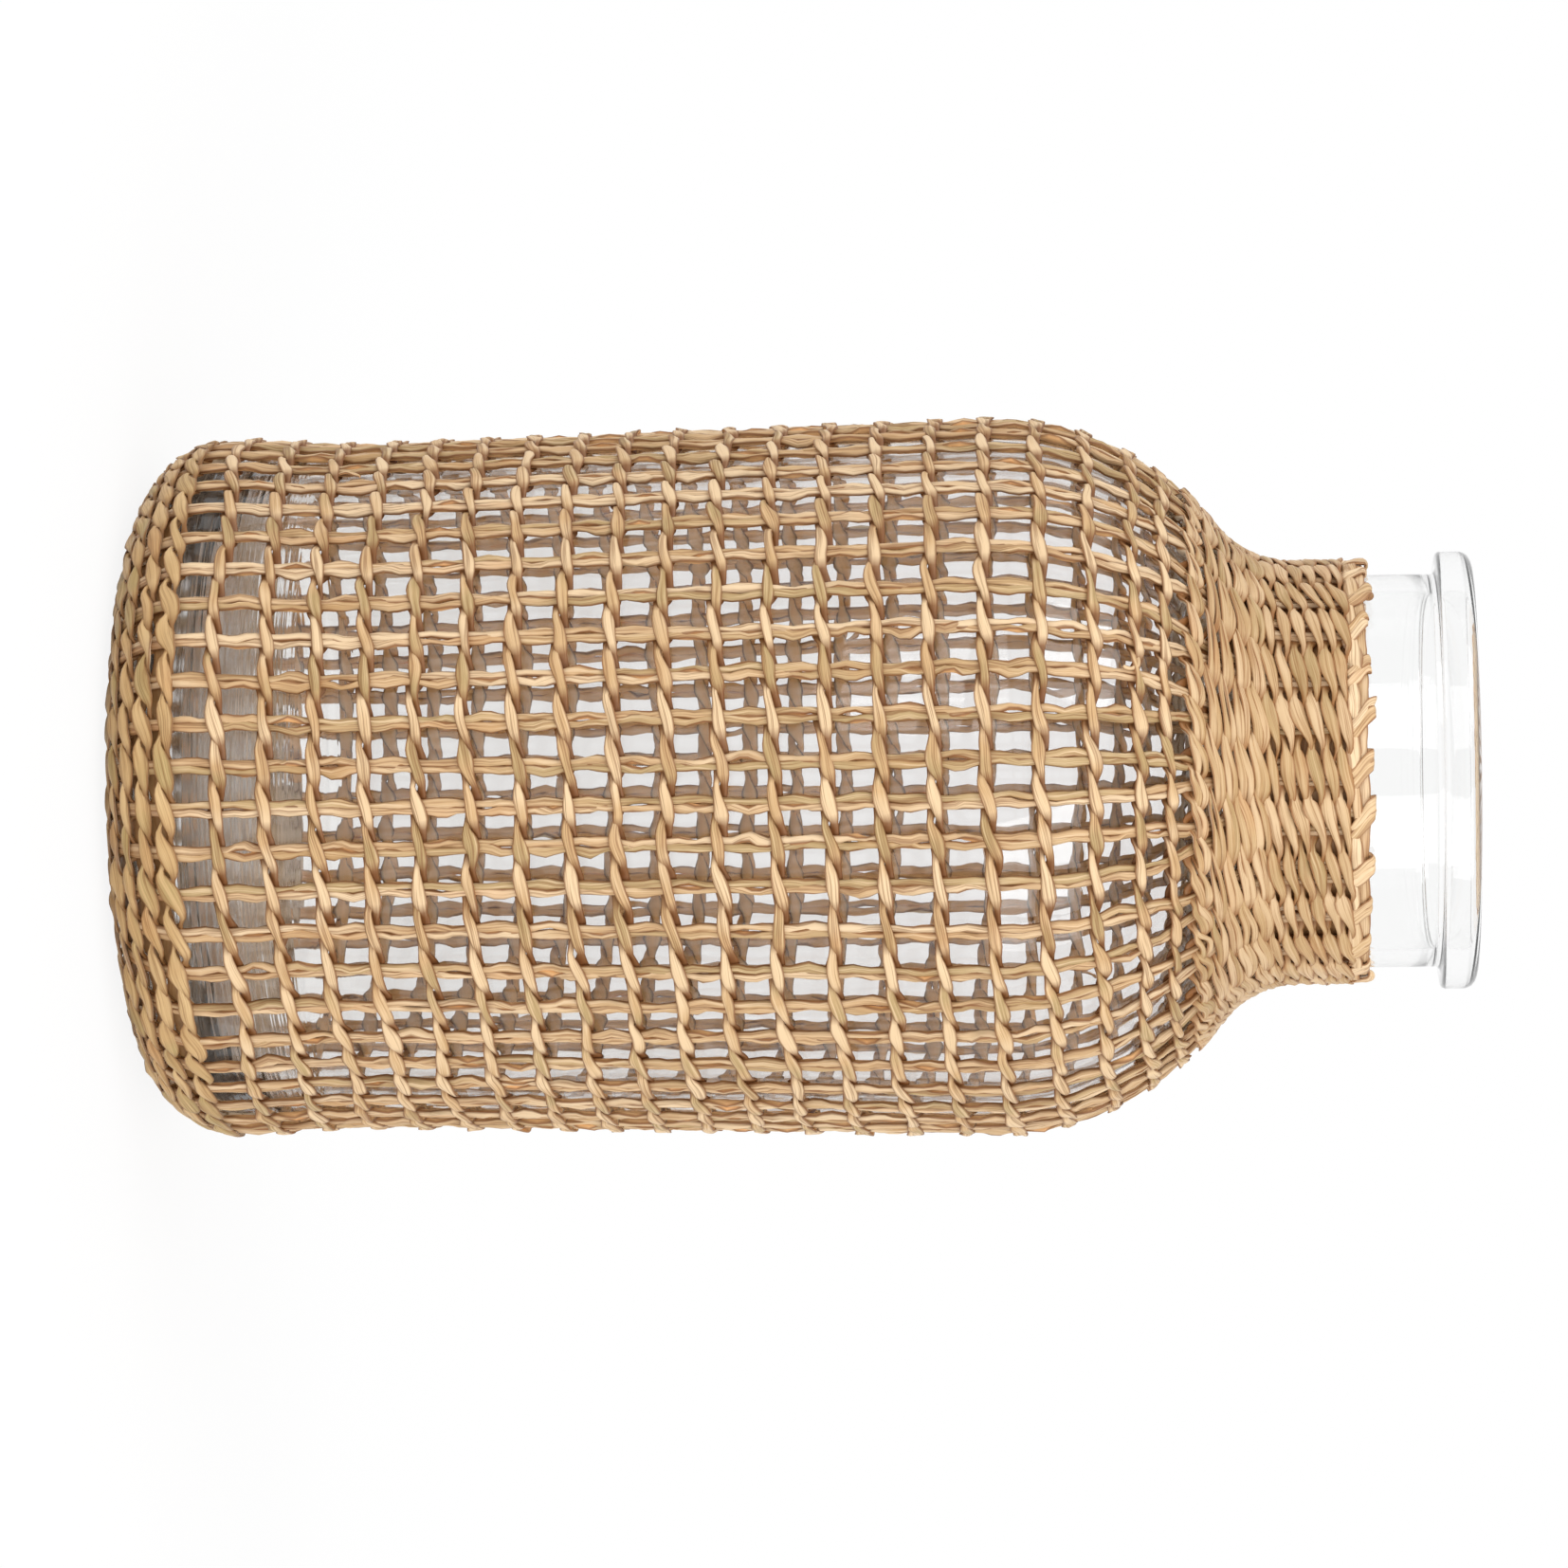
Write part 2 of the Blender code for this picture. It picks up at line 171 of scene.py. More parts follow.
# Glass vase: one piece of clear pressed glass, turned about the vase's axis, with a thick floor,
# a round shoulder and a rolled lip. Its walls are slightly uneven, its thick foot is cloudy and
# streaked, and below the neck it dims what shows through it a little, more so lower down: painted
# shade standing in for the weave's dark reflections in it.
VASE_HEIGHT = 300.0 * MM
BODY_RADIUS_FOOT = 74.4 * MM
BODY_RADIUS_SHOULDER = 78.1 * MM
FOOT_CORNER = 16.0 * MM
SHOULDER_HEIGHT = 193.0 * MM
SHOULDER_RADIUS = 58.5 * MM
NECK_BEND_RADIUS = 25.0 * MM
NECK_RADIUS = 44.2 * MM
GLASS_WALL = 3.8 * MM
GLASS_FLOOR = 9.0 * MM
GLASS_BOTTOM = 3.8 * MM
LIP_RADIUS = 49.2 * MM
LIP_HEIGHT = 8.0 * MM
LIP_ROUND = 3.0 * MM
LIP_UNDER_ROUND = 1.1 * MM
MOUTH_ROUND = 1.4 * MM
INNER_CORNER = 15.0 * MM
GLASS_SIDES = 192
WAVE_INSIDE = 0.06 * MM
WAVE_OUTSIDE = 0.02 * MM
WAVES_END = 262.0 * MM
WAVES_FADE = 40.0 * MM
SWIRLS_PER_METRE = (28.0, 28.0, 28.0)
SWIRL_HEIGHT = 0.6 * MM
STREAKS_PER_METRE = (14.0, 14.0, 420.0)
STREAK_HEIGHT = 0.8 * MM
CLOUD_TOP = 44.0 * MM
CLOUD_FULL = 22.0 * MM
CLEAR_ROUGHNESS = 0.012
CLOUDY_ROUGHNESS = 0.16
MILKY_TOP = 42.0 * MM
MILKY_FULL = 31.0 * MM
MILKY = (1.0, 0.995, 0.985, 1.0)
SHADE_TINT_FROM = 40.0 * MM
SHADE_TINT_TO = 240.0 * MM
SHADE_TINT_LOW = (0.865, 0.857, 0.848, 1.0)
SHADE_TINT_HIGH = (0.925, 0.915, 0.91, 1.0)
CLEAR_FROM = 250.0 * MM
CLEAR_TO = 275.0 * MM
CLEAR = (0.965, 0.967, 0.965, 1.0)

SHOULDER_CENTRE_R = BODY_RADIUS_SHOULDER - SHOULDER_RADIUS
NECK_CENTRE_R = NECK_RADIUS + NECK_BEND_RADIUS
CENTRES_APART = SHOULDER_RADIUS + NECK_BEND_RADIUS
BEND_ANGLE = math.acos((NECK_CENTRE_R - SHOULDER_CENTRE_R) / CENTRES_APART)
NECK_START_Z = SHOULDER_HEIGHT + CENTRES_APART * math.sin(BEND_ANGLE)
WALL_START_Z = GLASS_BOTTOM + FOOT_CORNER
WALL_LEAN = math.atan2(BODY_RADIUS_SHOULDER - BODY_RADIUS_FOOT, SHOULDER_HEIGHT - WALL_START_Z)
CORNER_AT = BODY_RADIUS_FOOT - FOOT_CORNER
WALL_AT = CORNER_AT + FOOT_CORNER * math.pi / 2
SHOULDER_AT = WALL_AT + (SHOULDER_HEIGHT - WALL_START_Z) / math.cos(WALL_LEAN)
BEND_AT = SHOULDER_AT + SHOULDER_RADIUS * BEND_ANGLE
NECK_AT = BEND_AT + NECK_BEND_RADIUS * BEND_ANGLE


def wall(along):
    """Radius, height and outward normal of the glass's outer wall at lengths along it from the
    bottom's centre: a flat bottom, a quarter-circle corner, a leaning line, an outward arc, an
    inward arc and a line up the neck."""
    s = np.asarray(along, dtype=float)
    corner = (s - CORNER_AT) / FOOT_CORNER
    up = s - WALL_AT
    round_out = (s - SHOULDER_AT) / SHOULDER_RADIUS
    round_in = BEND_ANGLE - (s - BEND_AT) / NECK_BEND_RADIUS
    stretch = [s < CORNER_AT, s < WALL_AT, s < SHOULDER_AT, s < BEND_AT, s < NECK_AT]
    r = np.select(stretch, [
        s,
        CORNER_AT + FOOT_CORNER * np.sin(corner),
        BODY_RADIUS_FOOT + up * math.sin(WALL_LEAN),
        SHOULDER_CENTRE_R + SHOULDER_RADIUS * np.cos(round_out),
        NECK_CENTRE_R - NECK_BEND_RADIUS * np.cos(round_in),
    ], NECK_RADIUS)
    z = np.select(stretch, [
        0 * s + GLASS_BOTTOM,
        WALL_START_Z - FOOT_CORNER * np.cos(corner),
        WALL_START_Z + up * math.cos(WALL_LEAN),
        SHOULDER_HEIGHT + SHOULDER_RADIUS * np.sin(round_out),
        NECK_START_Z - NECK_BEND_RADIUS * np.sin(round_in),
    ], NECK_START_Z + s - NECK_AT)
    tilt = np.select(stretch, [
        0 * s - math.pi / 2,
        corner - math.pi / 2,
        0 * s - WALL_LEAN,
        round_out,
        round_in,
    ], 0.0)
    return r, z, np.cos(tilt), np.sin(tilt)


def arc(centre_r, centre_z, radius, start, end, steps):
    """Points of a circle in the outline's plane, from one angle in degrees to another."""
    angles = np.radians(np.linspace(start, end, steps + 1))
    return np.stack([centre_r + radius * np.cos(angles), centre_z + radius * np.sin(angles)], -1)


def glass_outline():
    """Outline from the inner floor's middle, up the inside, over the lip and down the outside to
    the bottom's middle. The inside runs at the wall's thickness from the outside."""
    top_of_wall = NECK_AT + VASE_HEIGHT - MOUTH_ROUND - NECK_START_Z
    first = WALL_AT + max(GLASS_FLOOR + INNER_CORNER - FOOT_CORNER, 0) + 1 * MM
    inside_s = np.concatenate([np.linspace(first, SHOULDER_AT, 24),
                               np.linspace(SHOULDER_AT, NECK_AT, 40)[1:],
                               np.linspace(NECK_AT, top_of_wall, 8)[1:-1]])
    r, z, out, up = wall(inside_s)
    floor_z = GLASS_BOTTOM + GLASS_FLOOR
    inner_r = BODY_RADIUS_FOOT - GLASS_WALL
    floor_flat = np.linspace(0, inner_r - INNER_CORNER, 9)[:-1]
    floor_line = np.stack([floor_flat, 0 * floor_flat + floor_z], -1)
    inner_round = arc(inner_r - INNER_CORNER, floor_z + INNER_CORNER, INNER_CORNER, -90, 0, 12)
    inside = np.stack([r - GLASS_WALL * out, z - GLASS_WALL * up], -1)
    mouth_r = NECK_RADIUS - GLASS_WALL
    mouth = arc(mouth_r + MOUTH_ROUND, VASE_HEIGHT - MOUTH_ROUND, MOUTH_ROUND, 180, 90, 6)
    lip_top = arc(LIP_RADIUS - LIP_ROUND, VASE_HEIGHT - LIP_ROUND, LIP_ROUND, 90, 0, 8)
    lip_low = VASE_HEIGHT - LIP_HEIGHT
    lip_under = arc(LIP_RADIUS - LIP_UNDER_ROUND, lip_low + LIP_UNDER_ROUND, LIP_UNDER_ROUND,
                    0, -90, 5)
    throat = arc(NECK_RADIUS + MOUTH_ROUND, lip_low - MOUTH_ROUND, MOUTH_ROUND, 90, 180, 4)
    low_neck = NECK_AT + lip_low - MOUTH_ROUND - NECK_START_Z
    outside_s = np.concatenate([np.linspace(CORNER_AT, WALL_AT, 10),
                                np.linspace(WALL_AT, SHOULDER_AT, 24)[1:],
                                np.linspace(SHOULDER_AT, NECK_AT, 40)[1:],
                                np.linspace(NECK_AT, low_neck, 6)[1:-1]])
    r, z, _, _ = wall(outside_s)
    outside = np.stack([r, z], -1)[::-1]
    under = np.linspace(CORNER_AT, 0, 7)[1:]
    under = np.stack([under, 0 * under + GLASS_BOTTOM], -1)
    return np.concatenate([floor_line, inner_round, inside, mouth, lip_top, lip_under, throat,
                           outside, under]), len(floor_line) + len(inner_round) + len(inside)


def waves(phase_seed, across, up, count, reach_across, reach_up):
    """Smooth uneven surface of about unit height: a sum of sines round the vase and up it."""
    draw = np.random.default_rng(phase_seed)
    total = 0
    for _ in range(count):
        turns = draw.integers(1, reach_across)
        rise = draw.uniform(-reach_up, reach_up)
        total = total + np.sin(turns * across + rise * up + draw.uniform(0, math.tau))
    return total / math.sqrt(count)


def turned_mesh(name, outline, inside_count):
    """Mesh of an outline turned about Z, with a single point at each end of it. Its radius is
    made uneven by the waves, more inside than outside."""
    ring = outline[1:-1]
    azimuth = math.tau * np.arange(GLASS_SIDES) / GLASS_SIDES
    r, z = ring[:, 0][:, None], ring[:, 1][:, None]
    inside = (np.arange(1, len(outline) - 1) < inside_count)[:, None]
    height = np.where(inside, WAVE_INSIDE, WAVE_OUTSIDE)
    settle = np.clip((WAVES_END - z) / WAVES_FADE, 0, 1)
    r = r + height * settle * waves(5, azimuth[None, :], z, 14, 9, 60.0)
    points = np.stack([r * np.cos(azimuth), r * np.sin(azimuth), z + 0 * r], -1).reshape(-1, 3)
    poles = [(0, 0, outline[0, 1]), (0, 0, outline[-1, 1])]
    rows, sides = len(ring), GLASS_SIDES
    here = np.arange(sides)
    beside = (here + 1) % sides
    level_up = np.arange(rows - 1)[:, None] * sides
    quads = np.stack([level_up + here, level_up + beside, level_up + sides + beside,
                      level_up + sides + here], -1).reshape(-1, 4)
    first, last = rows * sides, rows * sides + 1
    low_fan = np.stack([here * 0 + first, beside, here], -1)
    high_fan = np.stack([here * 0 + last, here, beside], -1)
    high_fan[:, 1:] += (rows - 1) * sides
    mesh = bpy.data.meshes.new(name)
    faces = quads[:, ::-1].tolist() + low_fan[:, ::-1].tolist() + high_fan[:, ::-1].tolist()
    mesh.from_pydata(points.tolist() + poles, [], faces)
    mesh.shade_smooth()
    return mesh


def mixed(tree, first, second, share):
    """Socket with a colour mixed from two by a share, each a value or a socket."""
    node = node_of(tree, "ShaderNodeMix", data_type="RGBA")
    for number, value in ((0, share), (6, first), (7, second)):
        feed(tree, node.inputs[number], value)
    return node.outputs[2]


def noise_of(tree, place, per_metre, detail, roughness):
    """Socket with noise over places, at frequencies per metre along their three directions."""
    stretch = node_of(tree, "ShaderNodeMapping", n3=per_metre)
    noise = node_of(tree, "ShaderNodeTexNoise", Scale=1.0, Detail=detail, Roughness=roughness)
    tree.links.new(place, stretch.inputs["Vector"])
    tree.links.new(stretch.outputs["Vector"], noise.inputs["Vector"])
    return noise.outputs["Fac"]


def clear_glass():
    """Clear glass with slow swirls, dimmer below the neck and more so lower down, which is painted
    shade. In the thick foot it turns cloudy, and fine streaks across the vase's axis ridge it and
    whiten it. Light from lamps passes it, so that the strands behind are lit."""
    material = bpy.data.materials.new("clear glass")
    material.use_nodes = True
    tree = material.node_tree
    shader = tree.nodes["Principled BSDF"]
    shader.inputs["IOR"].default_value = 1.5
    shader.inputs["Transmission Weight"].default_value = 1.0
    place = tree.nodes.new("ShaderNodeTexCoord").outputs["Object"]
    parts = tree.nodes.new("ShaderNodeSeparateXYZ")
    tree.links.new(place, parts.inputs[0])
    height = parts.outputs["Z"]

    swirls = noise_of(tree, place, SWIRLS_PER_METRE, 2.0, 0.45)
    streaks = noise_of(tree, place, STREAKS_PER_METRE, 2.0, 0.5)
    cloudy = reach(tree, height, CLOUD_TOP, CLOUD_FULL)
    bump = node_of(tree, "ShaderNodeBump", Strength=0.10, Distance=SWIRL_HEIGHT)
    ridges = node_of(tree, "ShaderNodeBump", Distance=STREAK_HEIGHT)
    tree.links.new(swirls, bump.inputs["Height"])
    tree.links.new(streaks, ridges.inputs["Height"])
    tree.links.new(cloudy, ridges.inputs["Strength"])
    tree.links.new(bump.outputs["Normal"], ridges.inputs["Normal"])
    tree.links.new(ridges.outputs["Normal"], shader.inputs["Normal"])

    milky = math_of(tree, "MULTIPLY", reach(tree, streaks, 0.40, 0.58, 0.40, 1.0),
                    reach(tree, height, MILKY_TOP, MILKY_FULL))
    # Painted shade: below the neck the glass is tinted darker, more so lower down, in place of the
    # weave's dark reflections.
    shaded_tint = mixed(tree, SHADE_TINT_LOW, SHADE_TINT_HIGH, reach(tree, height, SHADE_TINT_FROM, SHADE_TINT_TO))
    shaded_tint = mixed(tree, shaded_tint, MILKY, milky)
    shaded_tint = mixed(tree, shaded_tint, CLEAR, reach(tree, height, CLEAR_FROM, CLEAR_TO))
    rough = reach(tree, height, CLOUD_TOP, CLOUD_FULL, CLEAR_ROUGHNESS, CLOUDY_ROUGHNESS)
    tree.links.new(shaded_tint, shader.inputs["Base Color"])
    tree.links.new(rough, shader.inputs["Roughness"])

    path = tree.nodes.new("ShaderNodeLightPath")
    through = tree.nodes.new("ShaderNodeBsdfTransparent")
    blend = tree.nodes.new("ShaderNodeMixShader")
    tree.links.new(path.outputs["Is Shadow Ray"], blend.inputs[0])
    tree.links.new(shader.outputs[0], blend.inputs[1])
    tree.links.new(through.outputs[0], blend.inputs[2])
    tree.links.new(blend.outputs[0], tree.nodes["Material Output"].inputs["Surface"])
    return material


def add_piece(name, mesh, material, node):
    """Put a finished mesh into the scene as a piece that rides on the vase and replaces a node."""
    piece = bpy.data.objects.new(name, mesh)
    bpy.context.scene.collection.objects.link(piece)
    mesh.materials.append(material)
    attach(piece, "root")
    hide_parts(node)


glass_mesh = turned_mesh("clear_vase", *glass_outline())
add_piece("clear_vase", glass_mesh, clear_glass(), "glass_vase")

# Stakes: upright strands of dried leaf, each two thin flat strips side by side that cross over
# and fold a little, with a dark line between them, partly real shadow and partly painted shade
# on the strips' edges. 52 of them stand round the body, and they close up into 26 pairs on the
# neck, where their ends are folded into the border.
STAKE_COUNT = 52
CLEARANCE = 0.3 * MM
BASE_SWELL = 2.0 * MM
SWELL_FADE = 30.0 * MM
STAKE_FOOT = 39.7 * MM
STAKE_DEPTH = 1.76 * MM
STAKE_STEP = 1.9 * MM
STRIP_WIDTH = 1.98 * MM
STRIP_THICKNESS = 1.5 * MM
STRIP_APART = 0.74 * MM
STRIP_NARROWEST = 0.9 * MM
STRIP_WIDEST = 3.0 * MM
FOOT_SETTLES = 12.0 * MM
CLOSE_FROM = 290.0 * MM
CLOSE_TO = 312.0 * MM
PAIR_APART = 1.75 * MM
SLOW_SWAY = 0.010
QUICK_SWAY = 0.0016
GATHERED_BACK = 0.020
BARE_NECK = 24.0 * MM
BORDER_HEIGHT = 4.4 * MM

# The rows' places, which the stakes need to be pinched where a row crosses.
BASE_TURNS = 5
ROW_COUNT = 20
NECK_TURNS = 11
BASE_PITCH = 4.3 * MM
NECK_PITCH = 3.926 * MM
FIRST_ROW_STEP = 2.7 * MM
BASE_START = CORNER_AT + 3.4 * MM
ROWS_START = BASE_START + BASE_PITCH * BASE_TURNS + FIRST_ROW_STEP
RIM_AT = NECK_AT + VASE_HEIGHT - BARE_NECK - BORDER_HEIGHT / 2 - NECK_START_Z
NECK_END = RIM_AT - BORDER_HEIGHT / 2 - CLEARANCE - 0.5 * MM
NECK_START = NECK_END - NECK_PITCH * NECK_TURNS
ROW_PITCH = (NECK_START - ROWS_START) / ROW_COUNT
LATE_ROW_LIFT = 4.6 * MM
LIFT_FROM_TURN = 9
LIFT_OVER_TURNS = 8
SETTLE_OVER_TURNS = 2.0
ROW_WANDER = 0.55 * MM
ROW_RIPPLE = 0.22 * MM

# A strand's section, a flat lens: points across and through it, from -1 to 1, outer side first.
SECTION = np.array([(-1.0, 0.25), (-0.6, 0.85), (0.0, 1.0), (0.6, 0.85), (1.0, 0.25),
                    (1.0, -0.25), (0.6, -0.85), (0.0, -1.0), (-0.6, -0.85), (-1.0, -0.25)])


def smooth(x):
    """0 below 0, 1 above 1 and an S between."""
    x = np.clip(x, 0, 1)
    return x * x * (3 - 2 * x)


def on_sleeve(along, azimuth, depth):
    """Points, and the sleeve's outward normals there, at lengths along the glass's outline and
    azimuths, lying at a depth over the glass. The sleeve swells off it above the corner."""
    rise = np.clip((along - CORNER_AT) / (WALL_AT - CORNER_AT), 0, 1)
    fade = smooth(1 - (along - WALL_AT) / SWELL_FADE)
    off = depth + BASE_SWELL * rise * fade
    r, z, out, up = wall(along)
    r = r + off * out
    z = z + off * up
    points = np.stack(np.broadcast_arrays(r * np.cos(azimuth), r * np.sin(azimuth), z), -1)
    normals = np.stack(np.broadcast_arrays(out * np.cos(azimuth), out * np.sin(azimuth), up), -1)
    return points, normals


def sway(azimuth, along):
    """How far the stakes lean from even spacing, as an angle: slow and quick sines round the
    vase and up it. At the back they also stand a little closer together."""
    gathered = GATHERED_BACK * np.tanh(4 * np.cos(azimuth)) * smooth(1.5 * np.sin(azimuth))
    slow = SLOW_SWAY * waves(11, azimuth, along, 12, 13, 16.0)
    return gathered + slow + QUICK_SWAY * waves(12, azimuth, along, 8, 40, 90.0)


def row_middle(turn):
    """Length along the glass of the spiral's middle, by turn: even but for a lift, which grows
    over the shoulder and is gone at the last open row."""
    growing = smooth((turn - LIFT_FROM_TURN) / LIFT_OVER_TURNS)
    lift = LATE_ROW_LIFT * growing * smooth((ROW_COUNT - turn) / SETTLE_OVER_TURNS)
    return ROWS_START + ROW_PITCH * turn + lift


def row_lift(azimuth, turn):
    """How far the weft wanders up and down from its even spiral, by azimuth and turn number."""
    return (ROW_WANDER * waves(21, azimuth, turn, 14, 12, 1.6)
            + ROW_RIPPLE * waves(22, azimuth, turn, 10, 45, 3.1))


def wander(seed, count, place, shortest, longest):
    """Smooth random lines of about unit height, one for each of count strands: a sum of sines of
    lengths between shortest and longest, at places along the strand."""
    draw = np.random.default_rng(seed)
    terms = 9
    wave = np.exp(draw.uniform(math.log(shortest), math.log(longest), (count, terms, 1)))
    start = draw.uniform(0, math.tau, (count, terms, 1))
    place = np.broadcast_to(place, (count, np.shape(place)[-1]))[:, None, :]
    return np.sin(math.tau * place / wave + start).sum(axis=1) * math.sqrt(2 / terms)


def unit(vectors):
    """Vectors made one long."""
    return vectors / np.linalg.norm(vectors, axis=-1, keepdims=True)


def strands(centre, outward, width, thickness, roll=0.0, fold=0.0):
    """Points of flat strands. Each lies along a line of centres, shape (strands, stations, 3),
    with its flat side to outward, turned about its line by roll. The section is a flat lens
    whose middle stands out by fold. Also the length along and the distance across, for grain."""
    along = unit(np.gradient(centre, axis=1))
    side = unit(np.cross(outward, along))
    face = np.cross(along, side)
    shape = centre.shape[:2]
    roll, fold, width, thickness = (
        np.broadcast_to(v, shape)[..., None, None] for v in (roll, fold, width, thickness))
    side, face = side[:, :, None, :], face[:, :, None, :]
    over = side * np.cos(roll) + face * np.sin(roll)
    out = face * np.cos(roll) - side * np.sin(roll)
    x, y = SECTION[:, :1], SECTION[:, 1:]
    points = (centre[:, :, None, :] + over * width / 2 * x
              + out * (thickness / 2 * y + fold * (0.4 - np.abs(x))))
    steps = np.linalg.norm(np.diff(centre, axis=1), axis=-1)
    length = np.concatenate([np.zeros((shape[0], 1)), np.cumsum(steps, axis=1)], axis=1)
    length = np.broadcast_to(length[:, :, None], points.shape[:3])
    across = np.broadcast_to(width[..., 0] / 2 * SECTION[:, 0], points.shape[:3])
    return points, length, across


def strand_mesh(name, parts):
    """One mesh of many closed strands. Each part is (points, length, across, tone, shade), with
    points of shape (strands, stations, section, 3). Tone picks a strand's colour and shade is
    painted shade where its outward face is tucked; both may vary by station. Shade is below 0
    on the inward face, which is painted paler as painted light. The third value of colour is 0
    along a strand's middle and 1 at its edges, where the leaf is darkened, partly as painted shade."""
    all_points, all_faces, grain, colour = [], [], [], []
    base = 0
    for points, length, across, tone, shade in parts:
        count, stations, section = points.shape[:3]
        number = (np.arange(count)[:, None, None] * stations
                  + np.arange(stations)[None, :, None]) * section + np.arange(section)
        a = number[:, :-1]
        b = number[:, 1:]
        sides = np.stack([a, b, np.roll(b, -1, axis=2), np.roll(a, -1, axis=2)], -1)
        inner = np.arange(section // 2 - 1)
        cap = np.stack([inner, inner + 1, section - 2 - inner, section - 1 - inner], -1)
        ends = np.concatenate([number[:, 0][:, cap], number[:, -1][:, cap[:, ::-1]]])
        faces = np.concatenate([sides.reshape(-1, 4), ends.reshape(-1, 4)]) + base
        base += number.size
        seeds = np.broadcast_to(np.arange(count)[:, None, None] * 1.37 + base * 1e-4, length.shape)
        all_points.append(points.reshape(-1, 3))
        all_faces.append(faces)
        grain.append(np.stack([length, across, seeds], -1).reshape(-1, 3))
        tone = np.broadcast_to(np.broadcast_to(tone, (count, stations))[:, :, None], length.shape)
        shade = np.broadcast_to(np.broadcast_to(shade, (count, stations))[:, :, None], length.shape)
        # Painted shade on the outward face where tucked, fading round the sides; below 0 on the inward
        # face, for painted light.
        shade = shade * (0.65 + 0.35 * SECTION[:, 1]) - np.clip(-SECTION[:, 1], 0, 1)
        edge = np.broadcast_to(np.abs(SECTION[:, 0]), length.shape)
        colour.append(np.stack([tone, shade, edge], -1).reshape(-1, 3))
    vertices = np.concatenate(all_points)
    faces = np.concatenate(all_faces)
    mesh = bpy.data.meshes.new(name)
    mesh.vertices.add(len(vertices))
    mesh.vertices.foreach_set("co", vertices.astype(np.float32).ravel())
    mesh.loops.add(faces.size)
    mesh.loops.foreach_set("vertex_index", faces.astype(np.int32).ravel())
    mesh.polygons.add(len(faces))
    mesh.polygons.foreach_set("loop_start", np.arange(0, faces.size, 4, dtype=np.int32))
    mesh.update(calc_edges=True)
    mesh.validate()
    mesh.shade_smooth()
    mesh.set_sharp_from_angle(angle=math.radians(58))
    for label, values in (("grain", grain), ("colour", colour)):
        layer = mesh.attributes.new(label, "FLOAT_VECTOR", "POINT")
        layer.data.foreach_set("vector", np.concatenate(values).astype(np.float32).ravel())
    return mesh


def srgb(*levels):
    """Colour for a shader from levels as they look, 0 to 255."""
    part = [c / 255 for c in levels]
    return (*[c / 12.92 if c < 0.04045 else ((c + 0.055) / 1.055) ** 2.4 for c in part], 1.0)


# Deep is also the painted shade where strands tuck under and, in part, at their edges; the inward face
# colour is painted light.
LEAF_COLOURS = ("Olive", "Straw", "Pale", "Russet", "Deep", "Inside")


def dried_leaf_group():
    """Node group for dried leaf: a colour that varies from strand to strand and along each, with
    fine lines along the fibres, darker at its edges and where it is tucked, paler on its inward
    face, and their roughness and height. The darkness where it is tucked is painted shade, the
    darker edges are partly the leaf's own and partly painted shade, and the paler inward face is
    painted light. Noise is taken along the grain, across it and from strand to strand."""
    group = bpy.data.node_groups.new("dried leaf", "ShaderNodeTree")
    face = group.interface
    for label in LEAF_COLOURS:
        face.new_socket(name=label, in_out="INPUT", socket_type="NodeSocketColor")
    for label in ("Roughness", "Height"):
        face.new_socket(name=label, in_out="OUTPUT", socket_type="NodeSocketFloat")
    face.new_socket(name="Colour", in_out="OUTPUT", socket_type="NodeSocketColor")
    given = group.nodes.new("NodeGroupInput")
    result = group.nodes.new("NodeGroupOutput")
    grain = node_of(group, "ShaderNodeAttribute", attribute_name="grain").outputs["Vector"]
    colour = node_of(group, "ShaderNodeAttribute", attribute_name="colour")
    part = group.nodes.new("ShaderNodeSeparateXYZ")
    group.links.new(colour.outputs["Vector"], part.inputs[0])
    tone, painted_shade_and_light, edge = part.outputs["X"], part.outputs["Y"], part.outputs["Z"]

    blotch = noise_of(group, grain, (45.0, 160.0, 3.0), 2.0, 0.55)
    warm = noise_of(group, grain, (22.0, 60.0, 7.0), 2.0, 0.55)
    fibre = noise_of(group, grain, (70.0, 3600.0, 1.0), 3.0, 0.6)
    coarse = noise_of(group, grain, (26.0, 1300.0, 2.0), 2.0, 0.55)
    broad = math_of(group, "ADD", math_of(group, "MULTIPLY", tone, 0.62),
                    math_of(group, "MULTIPLY", blotch, 0.38))
    line = math_of(group, "ADD", math_of(group, "MULTIPLY", fibre, 0.55),
                   math_of(group, "MULTIPLY", coarse, 0.45))
    body = given.outputs["Olive"]
    # The last three mixes paint light and shade: the edges darker, partly the leaf's own and partly
    # painted shade; painted shade where tucked; and painted light on the inward face.
    for label, value, low, high, most in (
            ("Straw", broad, 0.28, 0.46, 1.0), ("Pale", broad, 0.50, 0.70, 1.0),
            ("Russet", warm, 0.57, 0.76, 0.65), ("Deep", line, 0.49, 0.40, 0.58),
            ("Pale", line, 0.52, 0.60, 0.65), ("Deep", edge, 0.66, 1.0, 0.95),
            ("Deep", painted_shade_and_light, 0.0, 1.0, 1.0), ("Inside", painted_shade_and_light, 0.0, -0.7, 0.85)):
        share = reach(group, value, low, high, 0.0, most)
        body = mixed(group, body, given.outputs[label], share)
    group.links.new(body, result.inputs["Colour"])
    group.links.new(reach(group, line, 0.3, 0.7, 0.62, 0.44), result.inputs["Roughness"])
    group.links.new(line, result.inputs["Height"])
    return group


LEAF_GROUP = dried_leaf_group()


